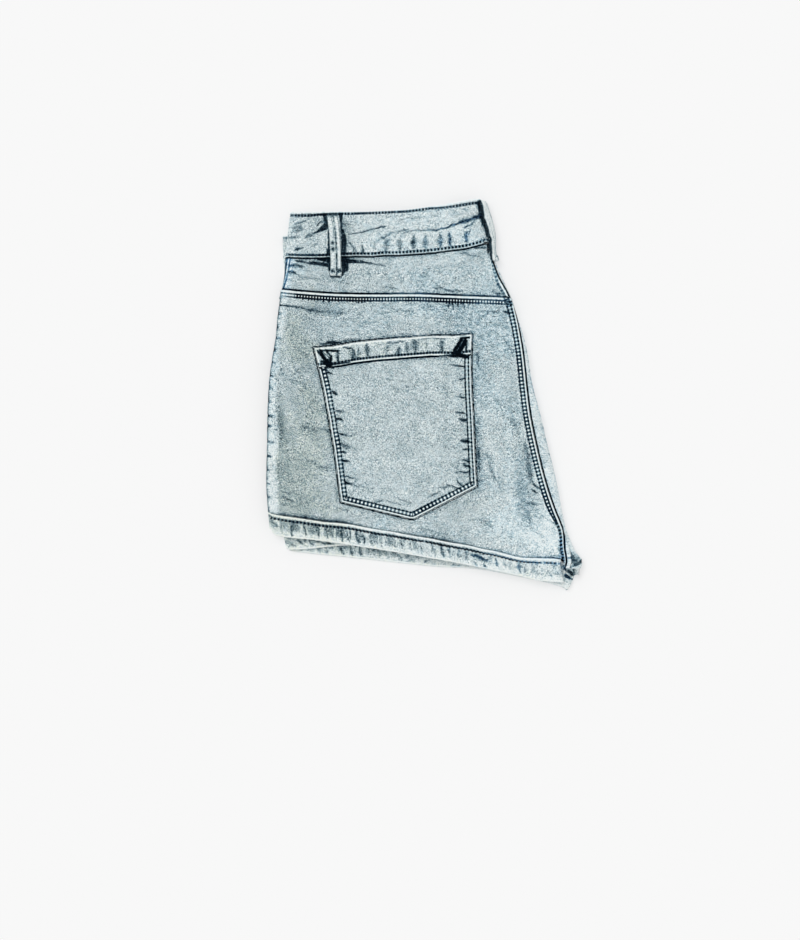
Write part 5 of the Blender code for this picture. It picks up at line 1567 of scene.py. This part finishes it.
DOWN = Vector((0.0, 0.0, -1.0))
ABOVE = 60.0              # height that stitches are dropped from
STITCH_RINGS = ((0.0, 0.3), (0.16, 0.9), (0.5, 1.05), (0.84, 0.9), (1.0, 0.3))
STITCH_SIDES = 6
THREAD_HEIGHT = 0.55      # of its width, because it is pulled in
END_SINK, MIDDLE_RISE = -0.16, 0.1
STEEPEST = 1.2            # a stitch that would climb further than this is left out


def tree_of(*items):
    """One search tree over the pieces, in millimetres."""
    points, faces = [], []
    for item in items:
        flat = np.empty(len(item.data.vertices) * 3)
        item.data.vertices.foreach_get("co", flat)
        first = len(points)
        points.extend((flat.reshape(-1, 3) / MM).tolist())
        faces.extend([tuple(first + i for i in polygon.vertices) for polygon in item.data.polygons])
    return BVHTree.FromPolygons(points, faces)


class Threads:
    """Stitches, as one mesh of short rounded lengths of thread."""

    def __init__(self):
        self.points = []
        self.faces = []

    def add(self, start, end, normal, radius):
        run = end - start
        run = run / np.linalg.norm(run)
        side = np.cross(normal, run)
        side = side / np.linalg.norm(side)
        up = np.cross(run, side)
        first = len(self.points)
        for share, size in STITCH_RINGS:
            middle = start + (end - start) * share + up * (END_SINK if share in (0.0, 1.0) else MIDDLE_RISE)
            for k in range(STITCH_SIDES):
                turn = 2 * math.pi * k / STITCH_SIDES
                out = side * math.cos(turn) + up * math.sin(turn) * THREAD_HEIGHT
                self.points.append(middle + out * radius * size)
        for r in range(len(STITCH_RINGS) - 1):
            for k in range(STITCH_SIDES):
                a = first + r * STITCH_SIDES + k
                b = first + r * STITCH_SIDES + (k + 1) % STITCH_SIDES
                self.faces.append((a, b, b + STITCH_SIDES, a + STITCH_SIDES))
        last = first + (len(STITCH_RINGS) - 1) * STITCH_SIDES
        self.faces.append(tuple(range(first + STITCH_SIDES - 1, first - 1, -1)))
        self.faces.append(tuple(range(last, last + STITCH_SIDES)))

    def row(self, tree, points, pitch, seed, radius=THREAD, share=STITCH, inks=None):
        """A row of stitches along points seen from above; where less ink is kept they are thinner
        and more of them are worn away."""
        steps = np.diff(points, axis=0)
        s = np.concatenate([[0.0], np.cumsum(np.hypot(steps[:, 0], steps[:, 1]))])
        count = int(s[-1] / pitch)
        chance = np.random.default_rng(seed).random((count, 3))
        for k in range(count):
            a = k * pitch + 0.2 * (chance[k, 0] - 0.5)
            b = a + share * pitch * (0.85 + 0.25 * chance[k, 1])
            (x0, y0), (x1, y1) = ([np.interp(at, s, points[:, c]) for c in (0, 1)] for at in (a, b))
            start, start_normal, _, _ = tree.ray_cast(Vector((x0, y0, ABOVE)), DOWN)
            end, end_normal, _, _ = tree.ray_cast(Vector((x1, y1, ABOVE)), DOWN)
            kept = float(ink(inks, "rows", x0)) if inks else 0.9
            worn_away = chance[k, 2] < 0.3 * max(0.0, 1.05 - kept) ** 1.5
            if start is None or end is None or worn_away or abs(start.z - end.z) > STEEPEST:
                continue
            normal = np.array(start_normal) + np.array(end_normal)
            self.add(np.array(start), np.array(end), normal, radius * (0.55 + 0.5 * kept))


def make_stitches(cloth):
    """Every row of thread, dropped on the cloth under it."""
    body = tree_of(cloth["yoke_left"], cloth["back_left"])
    pocket, band, hem = (tree_of(cloth[name]) for name in ("pocket", "band", "hem_left"))
    threads = Threads()
    doubles = (
        (body, YOKE_LINE, -1, YOKE_SEWING, (8, 16), 100, YOKE_INKS),
        (body, CENTRE_LINE, -1, CENTRE_SEWING, (41, 66), 110, None),
        (pocket, POCKET_LINE, 1, POCKET_SEWING, (17, 16.5), 120, None),
    )
    for side in (-1, 1):
        for tree, line, way, sewing, trim, seed, inks in doubles:
            points = line.offset(way * (sewing.middle + side * sewing.half), trim)
            threads.row(tree, points, sewing.pitch, seed + side, inks=inks)
    waist = line_along(lambda x: waist_top(x) - band_row_drop(x), -122, 48)
    crease = line_along(lambda x: hem_crease(np.minimum(x, HEM_RINGS["hem_left"].inner)), -140, 122)
    singles = (
        (band, waist, -1, BAND_TOP_SEWING, (2, 1), 130, WAIST_INKS),
        (band, line_along(band_bottom, -124, 58), 1, BAND_LOW_SEWING, (2, 2), 131, BAND_INKS),
        (hem, crease, -1, HEM_SEWING, (2, 1), 140, HEM_INKS),
    )
    for tree, line, way, sewing, trim, seed, inks in singles:
        points = line.offset(way * sewing.middle, trim)
        threads.row(tree, points, sewing.pitch, seed, BOLD_THREAD, BOLD_STITCH, inks)
    pocket_hem = POCKET_TOP_LINE.offset(POCKET_HEM_SEWING.middle - POCKET_HEM, (6, 2))
    threads.row(pocket, pocket_hem, POCKET_HEM_SEWING.pitch, 150)
    return make_object("stitches_top", np.array(threads.points), threads.faces, {})


# ---------------------------------------------------------------- materials

def srgb(red, green, blue):
    """A colour given as it looks on a screen, 0 to 255, as the renderer's linear light."""
    share = np.array([red, green, blue]) / 255
    linear = np.where(share <= 0.04045, share / 12.92, ((share + 0.055) / 1.055) ** 2.4)
    return (*linear.tolist(), 1.0)


class Graph:
    """Short names for the nodes that a material is made from."""

    def __init__(self, name, **uniform):
        self.material = bpy.data.materials.new(name)
        self.material.use_nodes = True
        self.tree = self.material.node_tree
        self.shader = self.tree.nodes["Principled BSDF"]
        for socket, value in uniform.items():
            self.shader.inputs[socket.replace("_", " ")].default_value = value

    def node(self, kind, **settings):
        made = self.tree.nodes.new("ShaderNode" + kind)
        for key, value in settings.items():
            setattr(made, key, value)
        return made

    def feed(self, made, **values):
        """Links or values for a node's inputs by name, with _ for a space."""
        for key, value in values.items():
            self.put(made.inputs[key.replace("_", " ")], value)
        return made

    def put(self, socket, value):
        if isinstance(value, bpy.types.NodeSocket):
            self.tree.links.new(value, socket)
        else:
            socket.default_value = value

    def math(self, operation, *values):
        made = self.node("Math", operation=operation)
        for socket, value in zip(made.inputs, values):
            self.put(socket, value)
        return made.outputs[0]

    def add(self, first, *others):
        for other in others:
            first = self.math("ADD", first, other)
        return first

    def times(self, first, *others):
        for other in others:
            first = self.math("MULTIPLY", first, other)
        return first

    def less(self, a, b):
        return self.math("SUBTRACT", a, b)

    def most(self, a, b):
        return self.math("MAXIMUM", a, b)

    def step(self, value, low, high):
        """0 below low to 1 above high, softly."""
        made = self.node("MapRange", interpolation_type="SMOOTHSTEP")
        return self.feed(made, Value=value, From_Min=low, From_Max=high).outputs["Result"]

    def drop(self, value, low, high):
        """1 below low to 0 above high, softly."""
        return self.less(1.0, self.step(value, low, high))

    def between(self, value, edges):
        """1 between the middle two edges, 0 outside the outer two."""
        return self.times(self.step(value, *edges[:2]), self.drop(value, *edges[2:]))

    def attribute(self, name, output="Fac"):
        return self.node("Attribute", attribute_name=name).outputs[output]

    def parts(self, name):
        """The three numbers of an attribute."""
        made = self.node("SeparateXYZ")
        self.put(made.inputs[0], self.attribute(name, "Vector"))
        return made.outputs

    def place(self, scale=(1.0, 1.0, 1.0), turn=0.0):
        """Places on the cloth in millimetres, stretched and turned."""
        made = self.feed(self.node("Mapping"), Vector=self.node("TexCoord").outputs["Object"])
        rotation = (0.0, 0.0, math.radians(turn))
        return self.feed(made, Scale=[s / MM for s in scale], Rotation=rotation).outputs[0]

    def noise(self, scale, detail, *place):
        """Soft noise, from about -0.5 to 0.5."""
        made = self.feed(self.node("TexNoise"), Vector=self.place(*place), Scale=scale, Detail=detail)
        return self.less(made.outputs["Fac"], 0.5)

    def multiplied(self, colour, share, by):
        """A colour multiplied by another where the share is 1."""
        made = self.node("Mix", data_type="RGBA", blend_type="MULTIPLY")
        for socket, value in zip((made.inputs["Factor"], *made.inputs[6:8]), (share, colour, (*by, 1.0))):
            self.put(socket, value)
        return made.outputs[2]

    def ramp(self, value, stops):
        """A colour for each value; the stops are rows with a place and an sRGB colour."""
        made = self.node("ValToRGB")
        elements = made.color_ramp.elements
        for stop in stops[1:-1]:
            elements.new(stop.fade)
        for element, stop in zip(elements, stops):
            element.position = stop.fade
            element.color = srgb(*stop.colour)
        self.put(made.inputs[0], value)
        return made.outputs["Color"]


# A seam's dark line is unfaded dye with painted shade where the cloth steps down at its edge; the soft
# shade outside a seam is painted shade too.
SEAM_NEAR = (-1.7, -1.2, 0.05, 0.5)      # where a seam's dark line starts and ends
RIDGE_NEAR = (0.35, 0.8, 1.7, 2.3)       # where the white ridge beside it starts and ends
SHADE_NEAR = (-5.5, -1.2, -0.4, 0.0)     # where the soft shade outside a seam starts and ends
WARM, COOL, NAVY = (1.0, 0.985, 0.92), (0.90, 1.0, 1.055), (0.69, 0.93, 1.21)


def sewing_marks(g, name, breaks):
    """How dark the rows of a seam are, and how worn the humps between its stitches."""
    away, stitch, half = g.parts(name)
    _, kept, rungs = g.parts("inks")
    off = g.less(g.math("ABSOLUTE", away), half)
    beat = g.math("COSINE", g.times(stitch, 2 * math.pi))
    two_rows = g.step(half, 0.2, 0.6)
    # The rows themselves, wider where there is only one.
    single = g.less(1.0, two_rows)
    row = g.drop(g.less(g.math("ABSOLUTE", off), g.times(single, 0.43)), 0.5, 1.05)
    # The rungs between two rows, some of them reaching out past the rows.
    double = g.times(two_rows, rungs)
    longer = g.add(0.5, g.times(g.step(rungs, 0.7, 1.2), 1.1))
    reach = g.add(half, 0.5, g.times(g.step(breaks, -0.1, 0.15), longer))
    far_side = g.drop(g.less(away, reach), 0.0, 0.7)
    near_side = g.drop(g.less(g.times(away, -1.0), half), 0.0, 0.45)
    bar = g.step(g.less(beat, g.add(-0.2, g.times(double, -0.36))), 0.0, 0.6)
    rung = g.times(bar, far_side, near_side, double)
    # The stitches of a row, and the worn humps of cloth between two rows.
    dash = g.add(0.42, g.times(0.68, g.step(beat, -0.6, 0.3)))
    dash = g.most(dash, g.times(0.9, g.step(double, 0.4, 0.8)))
    dots = g.less(g.step(beat, 0.1, -0.4), 0.4)
    dots = g.add(0.4, g.times(g.step(rungs, 0.05, 0.6), dots))
    hump = g.times(dots, g.drop(off, -0.75, -0.15), two_rows)
    return g.most(g.times(row, dash, kept), rung), hump


def denim_material():
    g = Graph("denim", Roughness=0.92, Specular_IOR_Level=0.04, Sheen_Weight=0.03)
    fade, tint = g.attribute("fade"), g.attribute("tint")
    speck, fine = g.noise(1.65, 0.4), g.noise(2.0, 0.0)
    breaks, patches = g.noise(0.3, 2.0), g.noise(0.05, 1.0)
    rim = g.add(g.attribute("rim"), g.times(breaks, 0.7))
    level_dark, level_hump = sewing_marks(g, "rows_level", breaks)
    upright_dark, upright_hump = sewing_marks(g, "rows_upright", breaks)
    # Ink that wear has left in the seams' rows, and their dark edge lines of unfaded dye and painted shade.
    broken = g.step(g.add(breaks, g.times(patches, 0.8)), -0.28, 0.0)
    stitched = g.times(g.most(level_dark, upright_dark), g.add(0.74, g.times(0.3, broken)))
    seam_edge_dye_and_shade = g.times(g.between(rim, SEAM_NEAR), g.parts("inks")[0], g.add(0.85, g.times(0.25, broken)))
    dark = g.math("MINIMUM", g.most(stitched, seam_edge_dye_and_shade), 1.0)
    # The acid wash: specks, pits of raw dye, streaks and clouds.
    pits = g.step(g.noise(1.35, 0.6), -0.05, -0.2)
    streak = g.noise(0.6, 2.0, (0.45, 1.0, 1.0), 22.0)
    total = g.add(fade, 0.045, g.times(speck, 1.05))
    total = g.less(total, g.times(pits, g.less(0.86, g.times(fade, 0.52))))
    streaked = g.add(0.36, g.times(0.5, g.step(tint, 0.1, 0.9)))
    total = g.add(total, g.times(streak, streaked), g.times(fine, 1.34), g.times(g.noise(0.07, 3.0), 0.3))
    # Shade outside the seams, worn ridges and humps, and the ink.
    shade = g.times(g.between(rim, SHADE_NEAR), 0.2, g.add(0.5, g.times(patches, 3.0)))
    total = g.less(total, shade)
    bright = g.add(g.between(rim, RIDGE_NEAR), g.most(level_hump, upright_hump))
    bright = g.math("MINIMUM", bright, 1.0)
    total = g.add(total, g.times(bright, g.less(1.02, total), 0.8))
    total = g.add(total, g.times(g.less(-0.02, total), dark))
    tint = g.add(tint, g.times(g.noise(0.3, 3.0), 2.8), g.times(dark, 0.9))
    colour = g.multiplied(g.ramp(total, DYES), g.step(g.times(tint, -1.0), 0.0, 1.2), WARM)
    colour = g.multiplied(colour, g.times(g.step(tint, 0.0, 1.2), g.step(total, 1.15, 0.8)), COOL)
    colour = g.multiplied(colour, g.times(g.step(tint, 1.1, 2.4), g.step(total, 0.9, 0.6)), NAVY)
    twill = g.node("TexWave", wave_type="BANDS", bands_direction="X")
    g.feed(twill, Vector=g.place(turn=27.0), Scale=0.42, Distortion=1.2, Detail_Scale=3.0)
    height = g.add(g.times(twill.outputs["Fac"], 0.35), g.times(speck, 1.1), g.times(fine, 0.6))
    bump = g.feed(g.node("Bump"), Strength=0.5, Distance=0.3 * MM, Height=height)
    g.feed(g.shader, Base_Color=colour, Normal=bump.outputs["Normal"])
    return g.material


def thread_material():
    g = Graph("thread", Roughness=0.9, Specular_IOR_Level=0.04)
    ply = g.step(g.noise(1.6, 1.0), -0.2, 0.25)
    g.feed(g.shader, Base_Color=g.ramp(ply, THREAD_DYES))
    return g.material


# ---------------------------------------------------------------- studio

CAMERA = (-0.022, -0.068, 2.0085)
LENS = 85.0
SENSOR = 36.0
FARTHEST = 20.0
WORLD = 0.74
SUN_HEIGHT = 58.0
SUN_FROM = 135.0          # degrees round from +X: the upper left of the picture
SUN_SOFTNESS = 30.0       # degrees across
FLOOR = 248
FLOOR_GLOW = 0.5          # share of the floor's light that is its own, as on a light table
FLOOR_SIDE = 6.0
FLOOR_DROP = 0.0002


def make_studio():
    camera = bpy.data.cameras.new("camera")
    camera.lens = LENS
    camera.sensor_width = SENSOR
    camera.clip_end = FARTHEST
    item = add_to_scene("camera", camera)
    item.location = CAMERA
    bpy.context.scene.camera = item
    sun = bpy.data.lights.new("sun", "SUN")
    sun.energy = (1 - WORLD) * math.pi / math.sin(math.radians(SUN_HEIGHT))
    sun.angle = math.radians(SUN_SOFTNESS)
    lamp = add_to_scene("sun", sun)
    lamp.rotation_euler = (0.0, math.radians(90 - SUN_HEIGHT), math.radians(SUN_FROM))
    world = bpy.data.worlds.new("studio")
    world.use_nodes = True
    sky = world.node_tree.nodes["Background"]
    sky.inputs["Color"].default_value = (1.0, 1.0, 1.0, 1.0)
    sky.inputs["Strength"].default_value = WORLD
    bpy.context.scene.world = world
    mesh = bpy.data.meshes.new("floor")
    corners = [(x * FLOOR_SIDE, y * FLOOR_SIDE, 0) for x, y in ((-1, -1), (1, -1), (1, 1), (-1, 1))]
    mesh.from_pydata(corners, [], [(0, 1, 2, 3)])
    floor = add_to_scene("floor", mesh)
    floor.location = (0.0, 0.0, -FLOOR_DROP)
    pale = srgb(FLOOR, FLOOR, FLOOR)
    g = Graph("floor", Roughness=1.0, Specular_IOR_Level=0.0, Emission_Color=pale)
    lit = [c * (1 - FLOOR_GLOW) for c in pale[:3]] + [1.0]
    g.feed(g.shader, Base_Color=lit, Emission_Strength=FLOOR_GLOW)
    mesh.materials.append(g.material)
    bpy.context.scene.view_settings.view_transform = "Standard"


def main():
    cloth = {}
    make_panels(cloth)
    cloth["pocket"] = make_pocket()
    cloth["band"] = make_waistband()
    cloth["hem_left"] = make_hem("hem_left_cloth", "hem_left")
    cloth["hem_right"] = make_hem("hem_right_cloth", "hem_right")
    cloth["loop_left"] = make_left_loop("belt_loop_left_cloth", "belt_loop_left")
    cloth["loop_centre"] = make_centre_loop("belt_loop_centre_cloth", "belt_loop_centre")
    cloth["hidden"] = make_hidden_layers()
    denim = denim_material()
    for item in cloth.values():
        item.data.materials.append(denim)
    stitches = make_stitches(cloth)
    stitches.data.materials.append(thread_material())
    for cut in CUTS:
        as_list(cut.rests_on)
    make_studio()


main()
